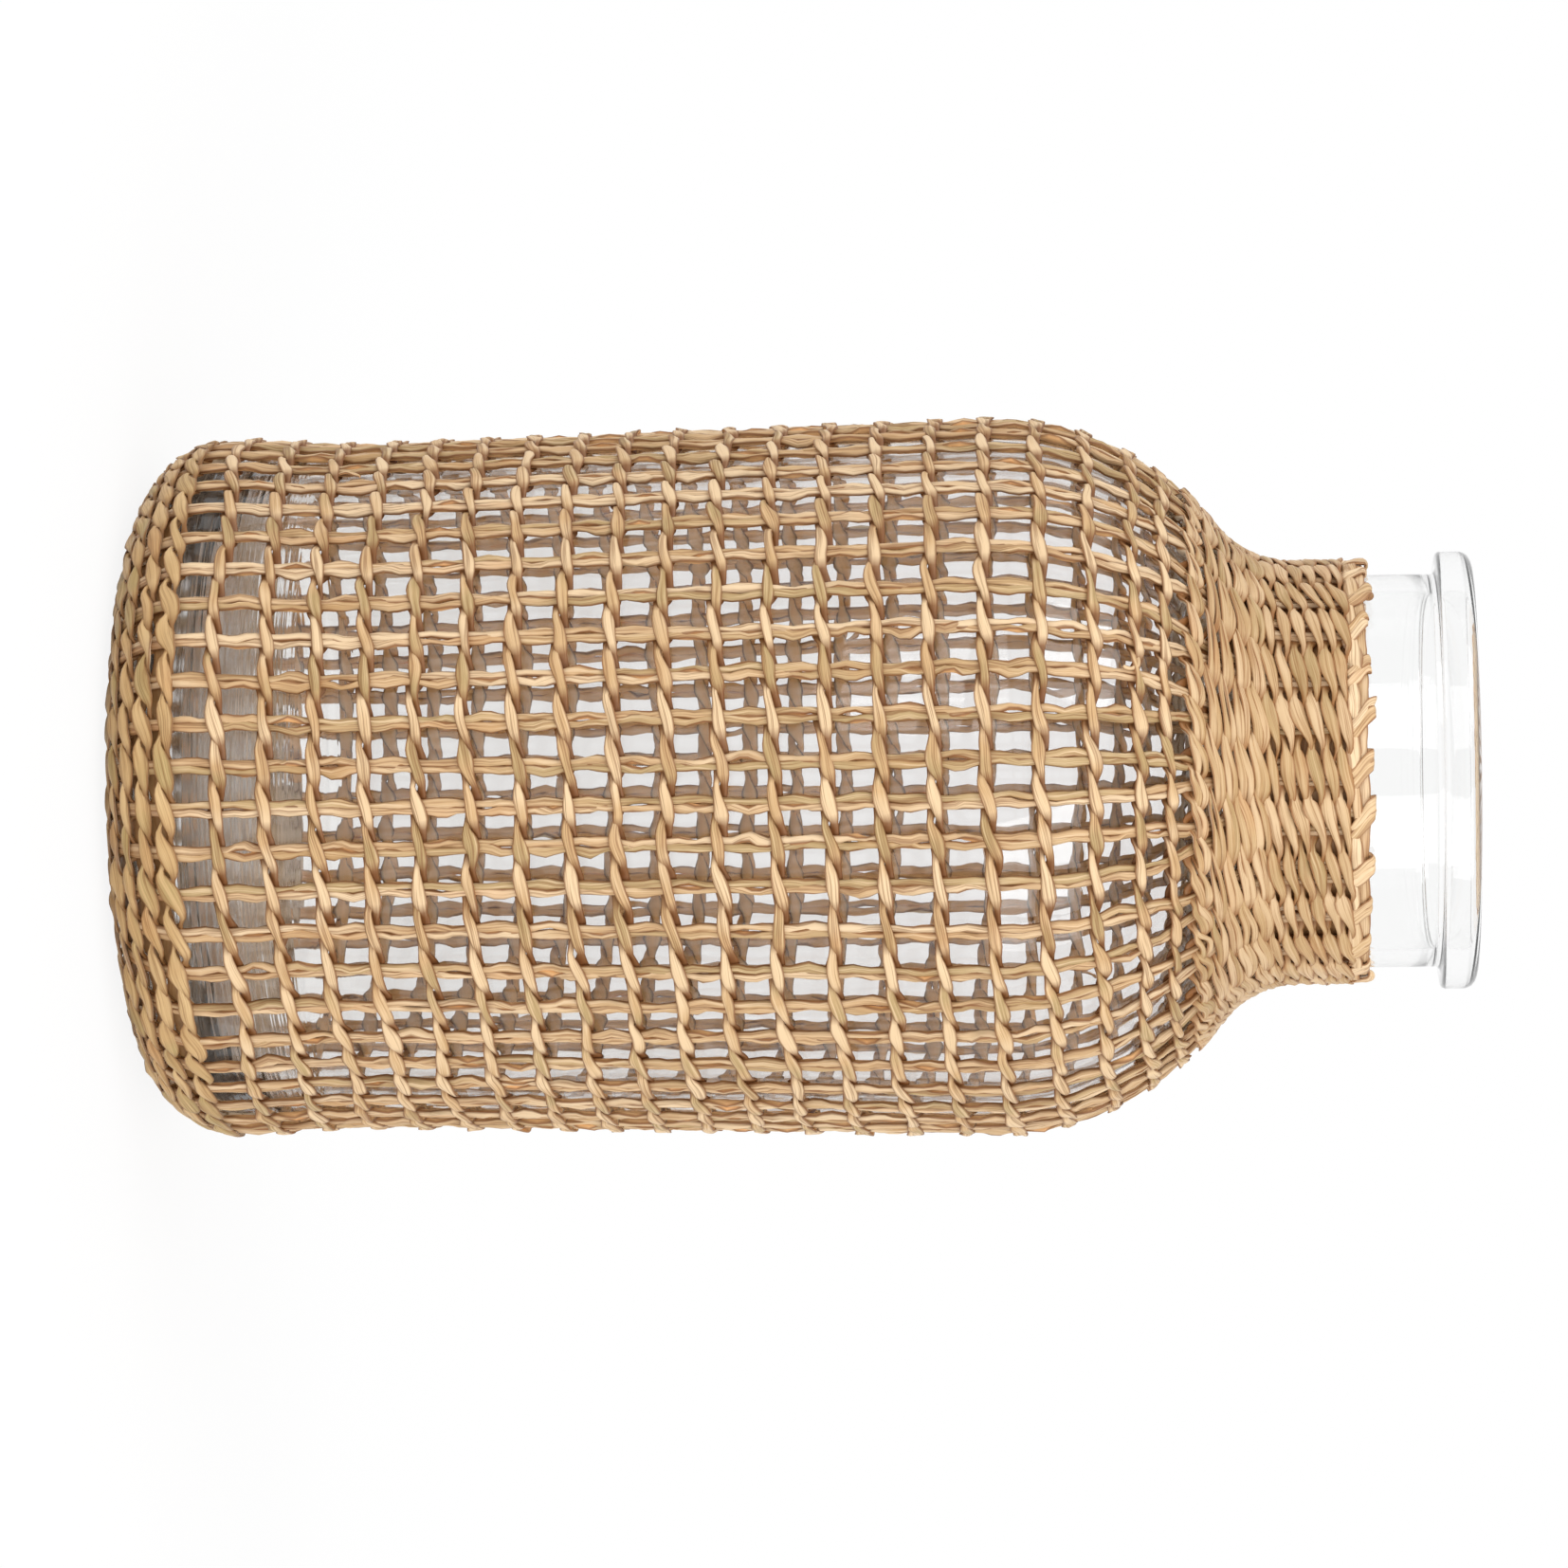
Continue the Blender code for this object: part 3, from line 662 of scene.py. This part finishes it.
def dried_leaf(name, *colours):
    """Material of one set of strands, from its six colours as they look."""
    material = bpy.data.materials.new(name)
    material.use_nodes = True
    tree = material.node_tree
    shader = tree.nodes["Principled BSDF"]
    shader.inputs["Specular IOR Level"].default_value = 0.42
    leaf = tree.nodes.new("ShaderNodeGroup")
    leaf.node_tree = LEAF_GROUP
    for label, colour in zip(LEAF_COLOURS, colours):
        leaf.inputs[label].default_value = srgb(*colour)
    bump = node_of(tree, "ShaderNodeBump", Strength=0.8, Distance=0.12 * MM)
    tree.links.new(leaf.outputs["Colour"], shader.inputs["Base Color"])
    tree.links.new(leaf.outputs["Roughness"], shader.inputs["Roughness"])
    tree.links.new(leaf.outputs["Height"], bump.inputs["Height"])
    tree.links.new(bump.outputs["Normal"], shader.inputs["Normal"])
    return material


def row_phase(azimuth, along):
    """How near a stake's place is to a row crossing it: cosine of the phase between rows."""
    lift = row_lift(azimuth, (along - ROWS_START) / ROW_PITCH)
    turns = np.linspace(-6, ROW_COUNT + 8, 600)
    phase = np.interp(along - lift, row_middle(turns), turns) - azimuth / math.tau + 0.25
    open_rows = smooth((along - ROWS_START) / ROW_PITCH + 0.5) * smooth(
        (NECK_START - along) / ROW_PITCH + 0.5)
    return np.cos(math.tau * phase) * open_rows + (1 - open_rows)


def stake_strips():
    """Centres, normals, widths, rolls and folds of all strips, four to a pair. They are pinched
    where a row crosses, and between the rows they part, turn and cross a little."""
    steps = int((RIM_AT - STAKE_FOOT) / STAKE_STEP)
    along = np.linspace(STAKE_FOOT, RIM_AT, steps)[None, :]
    stake = np.repeat(np.arange(STAKE_COUNT), 2)[:, None]
    hand = np.tile([-1.0, 1.0], STAKE_COUNT)[:, None]
    even = math.tau * (stake + 0.5) / STAKE_COUNT
    pair = math.tau * (stake // 2 + 0.5) / (STAKE_COUNT / 2)
    side_of_pair = np.where(stake % 2 == 0, -1.0, 1.0)
    r = wall(along)[0]
    closing = smooth((along - CLOSE_FROM) / (CLOSE_TO - CLOSE_FROM))
    azimuth = even + closing * (pair + side_of_pair * PAIR_APART / r - even)
    azimuth = azimuth + sway(azimuth, along)
    near = row_phase(azimuth, along)
    count = len(stake)
    shift = wander(31, count, along, 7 * MM, 60 * MM)
    widen = wander(32, count, along, 8 * MM, 70 * MM)
    turn = wander(33, count, along, 9 * MM, 50 * MM)
    lift = wander(34, count, along, 9 * MM, 40 * MM)
    crease = wander(35, count, along, 12 * MM, 80 * MM)
    slack = 0.5 - 0.5 * near
    snug = 1 - 0.16 * smooth((along - SHOULDER_AT) / (CLOSE_TO - SHOULDER_AT))
    apart = hand * STRIP_APART * (0.86 + 0.22 * slack) * snug
    sideways = apart + (0.10 + 0.24 * slack) * MM * shift
    foot_room = smooth((along - STAKE_FOOT) / FOOT_SETTLES)
    depth = STAKE_DEPTH * (0.62 + 0.38 * foot_room) + (0.06 + 0.16 * slack) * MM * lift * foot_room
    centre, outward = on_sleeve(along, azimuth + sideways / r, depth)
    width = STRIP_WIDTH * snug * (0.90 + 0.16 * slack) + (0.16 + 0.30 * slack) * MM * widen
    width = np.clip(width, STRIP_NARROWEST, STRIP_WIDEST)
    roll = np.radians(8 + 22 * slack) * turn + np.radians(9) * hand
    fold = (0.08 + 0.20 * slack) * MM * crease
    tone = 0.5 + 0.17 * wander(36, count, along, 60 * MM, 400 * MM)
    tone = tone + 0.24 * np.random.default_rng(37).standard_normal((count, 1))
    # Painted shade: a stake is darker where a row crosses over it and on the neck, where the close
    # band covers it.
    shade = 0.28 * smooth((near - 0.72) / 0.28) * (1 - closing) + 0.30 * closing
    return centre, outward, width, roll, fold, tone, shade


leaf_upright = dried_leaf("upright leaf", (180, 152, 106), (200, 164, 120), (226, 198, 160),
                          (196, 142, 90), (122, 74, 32), (255, 196, 133))
centre, outward, width, roll, fold, tone, shade = stake_strips()
for number in range(STAKE_COUNT // 2):
    four = slice(4 * number, 4 * number + 4)
    body = strands(centre[four], outward[four], width[four], STRIP_THICKNESS, roll[four], fold[four])
    mesh = strand_mesh(f"stakes_{number + 1:02d}", [(*body, tone[four], shade[four])])
    add_piece(mesh.name, mesh, leaf_upright, f"stake_pair_{number + 1:02d}")

# Open rows: two flat strands twisted about each other round the stakes, one passing outside and
# one inside each stake. The spiral starts at the back and climbs to the right on the front, one
# piece to a turn. A few strands were pieced in on the way, and their ends stand off a little.
WEFT_STEPS = 9
WEFT_MIDDLE = 1.75 * MM
WEFT_SWING = 1.12 * MM
WEFT_CLIMB = 0.74 * MM
WEFT_WIDTH = 2.70 * MM
WEFT_THICKNESS = 0.90 * MM
WEFT_HOLD = (2.05, 1.85)
WEFT_SHAPE = (1.55, 0.55, 0.86, 1.0, 0.92, 0.60)
STEP_UP_STAKES = 7
FEWER_INSIDE = 0.5
FEWER_FROM_ROW = 12
FEWER_OVER_ROWS = 5
LOOSE_DEPTH = 2.1 * MM
LOOSE_STANDS_OFF = 0.9 * MM
LOOSE_WIDTH = 1.5 * MM
LOOSE_THICKNESS = 0.6 * MM

# Loose ends: the row each starts at, degrees round from the front, lean from straight up in
# degrees, length in millimetres and curl in degrees.
LOOSE_ENDS = ((4, 32, -4, 10, 8), (5, 56, 6, 8, -20), (18, -22, 50, 7, 150), (2, -64, 12, 7, 30),
              (8, 118, -8, 9, -25), (11, 205, 14, 6, 60), (14, -118, 190, 8, 20),
              (6, 160, 20, 7, 110), (16, 142, -12, 6, -40), (10, -150, 176, 9, 30),
              (3, 178, 8, 8, -15), (13, -96, 30, 5, 70))


def twined(phase, azimuth, along, climb, width, middle, hold, shape, seed, apart=0.0, loose=0.12,
           arch=0.0):
    """Two strands twisted about each other, half a turn of twist to a stake. Phase is the first
    strand's angle of twist: 0 where it lies outside a stake. A strand comes out with a pointed
    head before the crossing, and tapers to a tail that goes in beside the next head; hold gives
    how far from the stake these lie, and shape its breadth inside, at the head, before, on and
    past the stake and at the tail. Height is a rounded zigzag and depth a tanh of the twist's
    distance from the head or the tail. With apart, a strand is two strips side by side, and
    with arch it bows up over each stake."""
    strips = 2 if apart else 1
    twist = np.stack([phase, phase + math.pi] * strips)
    hand = np.repeat(np.arange(strips) - (strips - 1) / 2, 2)[:, None]
    count = len(twist)
    place = twist / math.pi
    around = np.angle(np.exp(1j * twist))
    zigzag = np.arcsin(0.96 * np.sin(twist)) / math.asin(0.96)
    head, tail = hold
    swing = np.tanh(np.minimum((around + head) * 2.4, (tail - around) * 1.9))
    inside, at_head, before, on, past, at_tail = shape
    breadth = np.interp(around, [-math.pi, 0.3 - head, -0.5 * head, -0.1, 0.5 * tail, tail - 0.2,
                                 math.pi], [inside, at_head, before, on, past, at_tail, inside])
    rise = climb * (1 + 0.22 * np.tile(wander(seed + 1, 2, place[:2], 1.2, 9.0), (strips, 1)))
    height = along + rise * zigzag + loose * MM * wander(seed + 2, count, place, 1.1, 5.0)
    height = height + arch * np.cos(around)
    height = height + hand * apart * breadth
    swayed = azimuth + sway(azimuth, along)
    centre, outward = on_sleeve(height, swayed, middle + WEFT_SWING * swing)
    broad = 1 + 0.14 * wander(seed, count, place, 0.9, 6.0)
    outside = smooth((swing + 0.4) / 1.2)
    thickness = WEFT_THICKNESS * (1.10 - 0.22 * outside)
    roll = np.radians(14) * np.sin(twist) + np.radians(11) * wander(seed + 3, count, place, 1.2, 6.0)
    fold = (0.10 + 0.16 * wander(seed + 4, count, place, 1.0, 7.0)) * MM * outside
    body = strands(centre, outward, width * breadth * broad, thickness, roll, fold)
    tone = 0.5 + 0.22 * wander(seed + 5, count, place, 1.5, 30.0)
    tone = tone + 0.16 * np.random.default_rng(seed + 6).standard_normal((count, 1))
    # Painted shade: a strand darkens where it goes in behind its neighbour and where its head comes
    # out.
    going_in = smooth((around - 0.4 * tail) / (0.55 * tail))
    coming_out = smooth((-around - head + 0.4) / 0.5)
    return (*body, tone, np.maximum(going_in, 0.85 * coming_out))


def loose_ends(ends, seed):
    """Short free ends of strands. Each runs off at its lean, curls as it goes, tapers, and
    stands off a little."""
    rows, places, leans, lengths, curls = np.array(ends, dtype=float).T[:, :, None]
    step = np.linspace(0, 1, 16)[None, :]
    azimuth = math.tau * (places / 360 - 0.25)
    start = row_middle(rows + 0.5 + places / 360)
    heading = np.radians(leans + curls * step)
    move = lengths * MM / 15
    along = start + np.cumsum(np.cos(heading), axis=1) * move
    around = np.cumsum(np.sin(heading), axis=1) * move
    azimuth = azimuth + around / wall(along)[0]
    depth = LOOSE_DEPTH + LOOSE_STANDS_OFF * smooth(step / 0.5)
    centre, outward = on_sleeve(along, azimuth, depth)
    count = len(rows)
    width = LOOSE_WIDTH * (1 - 0.65 * step ** 2) * (1 + 0.2 * wander(seed, count, step, 0.4, 2.0))
    roll = np.radians(25) * wander(seed + 1, count, step, 0.6, 2.0)
    body = strands(centre, outward, width, LOOSE_THICKNESS, roll, 0.12 * MM)
    tone = 0.7 + 0.15 * np.random.default_rng(seed + 2).standard_normal((count, 1))
    # Painted shade at the root of each end, where it comes out of the weave.
    return (*body, tone, 0.6 * smooth(1 - step / 0.25))


leaf_open = dried_leaf("open row leaf", (178, 150, 102), (201, 164, 117), (226, 196, 155),
                       (198, 142, 88), (120, 72, 31), (255, 196, 133))
for number in range(ROW_COUNT):
    stakes_passed = np.linspace(0, STAKE_COUNT, STAKE_COUNT * WEFT_STEPS + 1)
    turn = number + stakes_passed / STAKE_COUNT
    azimuth = math.pi / 2 + math.tau * turn
    along = row_middle(turn) + row_lift(azimuth, turn)
    if number == 0:
        along = along - FIRST_ROW_STEP * (1 - smooth(stakes_passed / STEP_UP_STAKES))
    phase = math.pi * (stakes_passed + number * STAKE_COUNT - 0.5)
    inside = WEFT_SHAPE[0] - FEWER_INSIDE * smooth((number - FEWER_FROM_ROW) / FEWER_OVER_ROWS)
    row = twined(phase, azimuth, along, WEFT_CLIMB, WEFT_WIDTH, WEFT_MIDDLE, WEFT_HOLD,
                 (inside, *WEFT_SHAPE[1:]), 400)
    loose = [end for end in LOOSE_ENDS if end[0] == number]
    ends = [loose_ends(loose, 440 + number)] if loose else []
    mesh = strand_mesh(f"twined_row_{number + 1:02d}", [row, *ends])
    add_piece(mesh.name, mesh, leaf_open, f"weft_row_{number + 1:02d}")

# Close band round the bottom corner: the same twining with broader, duller strands, its turns
# side by side, which turns the stakes up from under the glass into the wall. A flat strand under
# it, painted dark as shade, closes the gaps between its turns.
BASE_WIDTH = 3.95 * MM
BASE_CLIMB = 0.9 * MM
BASE_DEPTH = 1.8 * MM
BASE_HOLD = (2.4, 2.3)
BASE_SHAPE = (1.25, 0.16, 0.66, 1.0, 0.72, 0.14)
LINING_DEPTH = 0.62 * MM
LINING_THICKNESS = 0.5 * MM


def lining(azimuth, along, width, seed):
    """Flat strand wound under the stakes of a close band, between the turns seen outside, painted dark
    as shade.
    """
    along = np.asarray(along)[None, :] + 0.3 * MM * wander(seed, 1, azimuth, 0.05, 0.6)
    depth = LINING_DEPTH + 0.10 * MM * wander(seed + 1, 1, azimuth, 0.05, 0.5)
    centre, outward = on_sleeve(along, azimuth + sway(azimuth, along), depth)
    body = strands(centre, outward, width, LINING_THICKNESS)
    return (*body, 0.5, 0.7)


leaf_base = dried_leaf("base leaf", (174, 148, 96), (191, 155, 105), (210, 177, 127),
                       (190, 136, 82), (130, 86, 42), (248, 222, 192))
stakes_passed = np.linspace(0, STAKE_COUNT * BASE_TURNS, STAKE_COUNT * BASE_TURNS * WEFT_STEPS + 1)
turn = stakes_passed / STAKE_COUNT
azimuth = math.pi / 2 + math.tau * turn
along = BASE_START + BASE_PITCH * turn + 0.4 * row_lift(azimuth, turn * 0.4)
phase = math.pi * (stakes_passed - 0.5)
band = twined(phase, azimuth, along, BASE_CLIMB, BASE_WIDTH, BASE_DEPTH, BASE_HOLD, BASE_SHAPE,
              500, loose=0.2)
between = (turn > 0.5) & (turn < BASE_TURNS - 1)
under = lining(azimuth[between], along[between] + BASE_PITCH / 2, BASE_PITCH - 0.4 * MM, 520)
add_piece("twined_base", strand_mesh("twined_base", [band, under]), leaf_base,
          "base_band")

# Close band on the shoulder's top and the neck: eleven turns side by side, closer towards the
# top. The first passes over single stakes, and the rest over the pairs, which they draw in on
# the neck. On the lower turns each strand is two strips, which bow up over the stakes.
NECK_LINED_FROM = 2.6
NECK_EARLY_TURNS = 5.0
NECK_EARLY_CLIMB = 0.95 * MM
NECK_EARLY_ARCH = 0.9 * MM
NECK_EARLY_WIDTH = 2.2 * MM
NECK_EARLY_APART = 2.0 * MM
NECK_EARLY_HOLD = (2.4, 2.25)
NECK_EARLY_SHAPE = (1.2, 0.50, 0.95, 1.0, 0.90, 0.50)
NECK_LATE_WIDTH = 3.05 * MM
NECK_LATE_HOLD = (1.9, 2.5)
NECK_LATE_SHAPE = (1.4, 0.38, 0.98, 1.0, 0.56, 0.20)
NECK_DEPTH = 2.2 * MM
NECK_CLIMB = 1.2 * MM
NECK_CLOSING = 0.155 * MM
NECK_TOP_LIFT = 0.6 * MM

leaf_neck = dried_leaf("neck leaf", (178, 149, 102), (192, 158, 112), (213, 182, 141),
                       (198, 144, 92), (142, 90, 42), (255, 232, 200))
pair_steps = (NECK_TURNS - 1) * STAKE_COUNT // 2 * WEFT_STEPS
turn = np.concatenate([np.linspace(0, 1, STAKE_COUNT * WEFT_STEPS + 1),
                       np.linspace(1, NECK_TURNS, pair_steps + 1)[1:]])
azimuth = math.pi / 2 + math.tau * turn
along = NECK_START + NECK_PITCH * turn + NECK_CLOSING * turn * (NECK_TURNS - turn)
along = along + 0.35 * row_lift(azimuth, turn * 0.4 + ROW_COUNT) + NECK_TOP_LIFT * smooth(turn - 9)
singles = np.minimum(turn, 1) * STAKE_COUNT - 0.5
pairs = np.maximum(turn - 1, 0) * STAKE_COUNT / 2
catch_up = 0.5 * smooth(pairs / 3)
phase = math.pi * (singles + pairs + catch_up)
early, late = turn < NECK_EARLY_TURNS + 0.01, turn > NECK_EARLY_TURNS - 0.01
lined = turn > NECK_LINED_FROM
# The lining under the neck's turns is painted dark as shade, where the gaps between turns would be
# shaded.
neck_parts = [
    lining(azimuth[lined][::3], along[lined][::3] + NECK_PITCH / 2, NECK_PITCH + 0.9 * MM, 640),
    twined(phase[early], azimuth[early], along[early], NECK_EARLY_CLIMB, NECK_EARLY_WIDTH, NECK_DEPTH,
           NECK_EARLY_HOLD, NECK_EARLY_SHAPE, 600, NECK_EARLY_APART, 0.22, NECK_EARLY_ARCH),
    twined(phase[late], azimuth[late], along[late], NECK_CLIMB, NECK_LATE_WIDTH, NECK_DEPTH,
           NECK_LATE_HOLD, NECK_LATE_SHAPE, 620),
]
add_piece("twined_neck", strand_mesh("twined_neck", neck_parts), leaf_neck,
          "neck_band")

# Border: the stakes' ends folded over a flat rim strand and tucked down behind it, one slanted
# fold of two strips to a pair.
leaf_border = dried_leaf("border leaf", (190, 162, 115), (209, 174, 129), (234, 205, 165),
                         (200, 146, 96), (134, 82, 38), (236, 196, 152))
RIM_WIDTH = 2.7 * MM
RIM_RISE = 0.5 * MM
RIM_DEPTH = 2.0 * MM
FOLD_STEPS = 26
FOLD_SLANT = 5.0 * MM
FOLD_START = -3.3 * MM
FOLD_CLIMB = 5.1 * MM
FOLD_TURN = 0.95 * MM
FOLD_TUCK = 2.2 * MM
FOLD_STRIP_WIDTH = 2.4 * MM
FOLD_STRIP_APART = 0.95 * MM
FOLD_DEPTH = 2.15 * MM
LYING_WIDTH = 3.0 * MM
LYING_DROP = 1.2 * MM
LYING_DEPTH = 2.65 * MM


def rim_strand():
    """Flat strand round the neck on edge, outside the stakes, with its ends lapped."""
    turn = np.linspace(-0.01, 1.01, 420)[None, :]
    azimuth = math.pi / 2 + math.tau * turn
    along = RIM_AT + RIM_RISE + 0.2 * MM * waves(41, azimuth, turn, 8, 14, 2.0)
    depth = RIM_DEPTH + 0.12 * MM * waves(42, azimuth, turn, 8, 24, 2.0)
    centre, outward = on_sleeve(along, azimuth, depth)
    width = RIM_WIDTH * (1 + 0.07 * wander(43, 1, turn, 0.02, 0.2))
    body = strands(centre, outward, width, 0.8 * MM, 0.1 * waves(44, azimuth, turn, 8, 30, 2.0))
    return (*body, 0.62 + 0.1 * wander(45, 1, turn, 0.05, 0.6), 0.15)


def lying_ends():
    """Folded ends that lie along the rim from one fold to the next: each leaf-shaped, narrow
    where it comes out from under a fold, and drifting up towards the rim."""
    count = STAKE_COUNT // 2
    pair = math.tau * (np.arange(count)[:, None] + 0.5) / count
    draw = np.random.default_rng(55)
    step = np.linspace(0, 1, 18)[None, :]
    azimuth = pair + (0.10 + 1.02 * step) * math.tau / count
    along = RIM_AT - LYING_DROP + 0.7 * MM * (step - 0.5) + 0.2 * MM * draw.standard_normal((count, 1))
    depth = LYING_DEPTH + 0.2 * MM * np.sin(math.pi * step)
    centre, outward = on_sleeve(along, azimuth + sway(azimuth, along), depth)
    width = LYING_WIDTH * (0.15 + 0.85 * np.sin(math.pi * (0.04 + 0.8 * step)) ** 0.9)
    width = width * (1 + 0.15 * draw.standard_normal((count, 1)))
    roll = np.radians(12) * wander(56, count, step, 0.5, 2.0)
    body = strands(centre, outward, width, 0.8 * MM, roll, 0.15 * MM)
    tone = 0.60 + 0.22 * draw.standard_normal((count, 1))
    # Painted shade where each end comes out from under a fold.
    return (*body, tone, 0.6 * smooth(1 - step / 0.2))


def folds():
    """Strips that climb slantwise over the outside of the rim, turn over its top in a half
    circle and go down behind it. They rise towards falling azimuth, two side by side to a pair."""
    count = STAKE_COUNT
    pair = math.tau * (np.repeat(np.arange(count // 2), 2)[:, None] + 0.5) / (count // 2)
    hand = np.tile([-1.0, 1.0], count // 2)[:, None]
    draw = np.random.default_rng(51)
    step = np.linspace(0, 1, FOLD_STEPS)[None, :]
    climbing = np.clip(step / 0.55, 0, 1)
    over = math.pi * np.clip((step - 0.55) / 0.3, 0, 1)
    tucking = np.clip((step - 0.85) / 0.15, 0, 1)
    depth = FOLD_DEPTH + FOLD_TURN * np.cos(over) - 1.1 * MM * (1 - smooth(step / 0.2))
    tall = draw.uniform(0.8, 1.1, (count // 2, 1)).repeat(2, 0)
    along = (RIM_AT + FOLD_START + FOLD_CLIMB * tall * climbing + FOLD_TURN * np.sin(over)
             - FOLD_TUCK * tucking)
    slant = FOLD_SLANT * draw.uniform(0.75, 1.25, (count // 2, 1)).repeat(2, 0)
    sideways = slant * (0.5 - smooth(step / 0.75)) + hand * FOLD_STRIP_APART
    azimuth = pair + sideways / NECK_RADIUS + sway(pair, along)
    centre, outward = on_sleeve(along, azimuth, depth)
    turned_in = over[..., None]
    outward = outward * np.cos(turned_in) + np.array([0, 0, 1.0]) * np.sin(turned_in)
    width = FOLD_STRIP_WIDTH * (1 + 0.12 * wander(52, count, step, 0.3, 1.5))
    roll = np.radians(10) * wander(53, count, step, 0.5, 2.0)
    body = strands(centre, outward, width, 0.7 * MM, roll, 0.08 * MM)
    tone = 0.62 + 0.2 * draw.standard_normal((count, 1))
    # Painted shade at the start of each strip, where it comes up from under the neck band.
    return (*body, tone, 0.7 * smooth(1 - step / 0.18))


border = strand_mesh("folded_border", [rim_strand(), lying_ends(), folds()])
add_piece("folded_border", border, leaf_border, "border")

# Woven mat under the glass: the round start of the sleeve.
MAT_RADIUS = 59.5 * MM
MAT_THICKNESS = 2.0 * MM
MAT_PITCH = 3.9 * MM
MAT_STAKES = 26
MAT_INNER = 9.0 * MM
MAT_CLIMB = 0.8 * MM
MAT_SWING = 0.52 * MM

leaf_mat = dried_leaf("mat leaf", (170, 144, 98), (188, 153, 108), (214, 182, 138),
                      (184, 130, 80), (140, 90, 48), (240, 214, 184))


def mat_twining():
    """The twining laid flat: a spiral from near the middle to the mat's edge, over 26 spokes."""
    turns = (MAT_RADIUS - 1.5 * MM - MAT_INNER) / MAT_PITCH
    turn = np.linspace(0, turns, int(turns * MAT_STAKES * 8))
    phase = np.stack([turn * MAT_STAKES * math.pi, turn * MAT_STAKES * math.pi + math.pi])
    radius = MAT_INNER + MAT_PITCH * turn + MAT_CLIMB * np.sin(phase)
    azimuth = math.pi / 2 + math.tau * turn
    swing = np.tanh(1.7 * np.cos(phase)) / math.tanh(1.7)
    z = MAT_THICKNESS / 2 - MAT_SWING * swing
    centre = np.stack([radius * np.cos(azimuth), radius * np.sin(azimuth), z], -1)
    outward = np.broadcast_to(np.array([0.0, 0.0, -1.0]), centre.shape)
    outside = np.clip(np.cos(phase), 0, 1)
    width = (1.6 + 1.9 * outside) * MM * (1 + 0.1 * wander(61, 2, phase / math.pi, 1.0, 8.0))
    body = strands(centre, outward, width, 0.72 * MM)
    tone = 0.5 + 0.22 * wander(62, 2, phase / math.pi, 2.0, 30.0)
    # Painted shade where the strand passes under a spoke.
    return (*body, tone, 0.25 * (1 - outside))


def mat_spokes():
    """Flat spokes from the mat's middle to its edge, between the two twined strands."""
    along = np.linspace(2.0 * MM, MAT_RADIUS - 0.4 * MM, 40)[None, :]
    azimuth = math.pi / 2 + math.tau * np.arange(MAT_STAKES)[:, None] / MAT_STAKES
    z = MAT_THICKNESS / 2 + 0 * along * azimuth
    centre = np.stack([along * np.cos(azimuth), along * np.sin(azimuth), z], -1)
    outward = np.broadcast_to(np.array([0.0, 0.0, -1.0]), centre.shape)
    width = np.minimum(3.4 * MM, along * math.tau / MAT_STAKES * 0.8 + 0.4 * MM)
    body = strands(centre, outward, width, 0.6 * MM)
    return (*body, 0.5 + 0.2 * np.random.default_rng(63).standard_normal((MAT_STAKES, 1)), 0.1)


add_piece("woven_mat", strand_mesh("woven_mat", [mat_twining(), mat_spokes()]), leaf_mat,
          "base_mat")
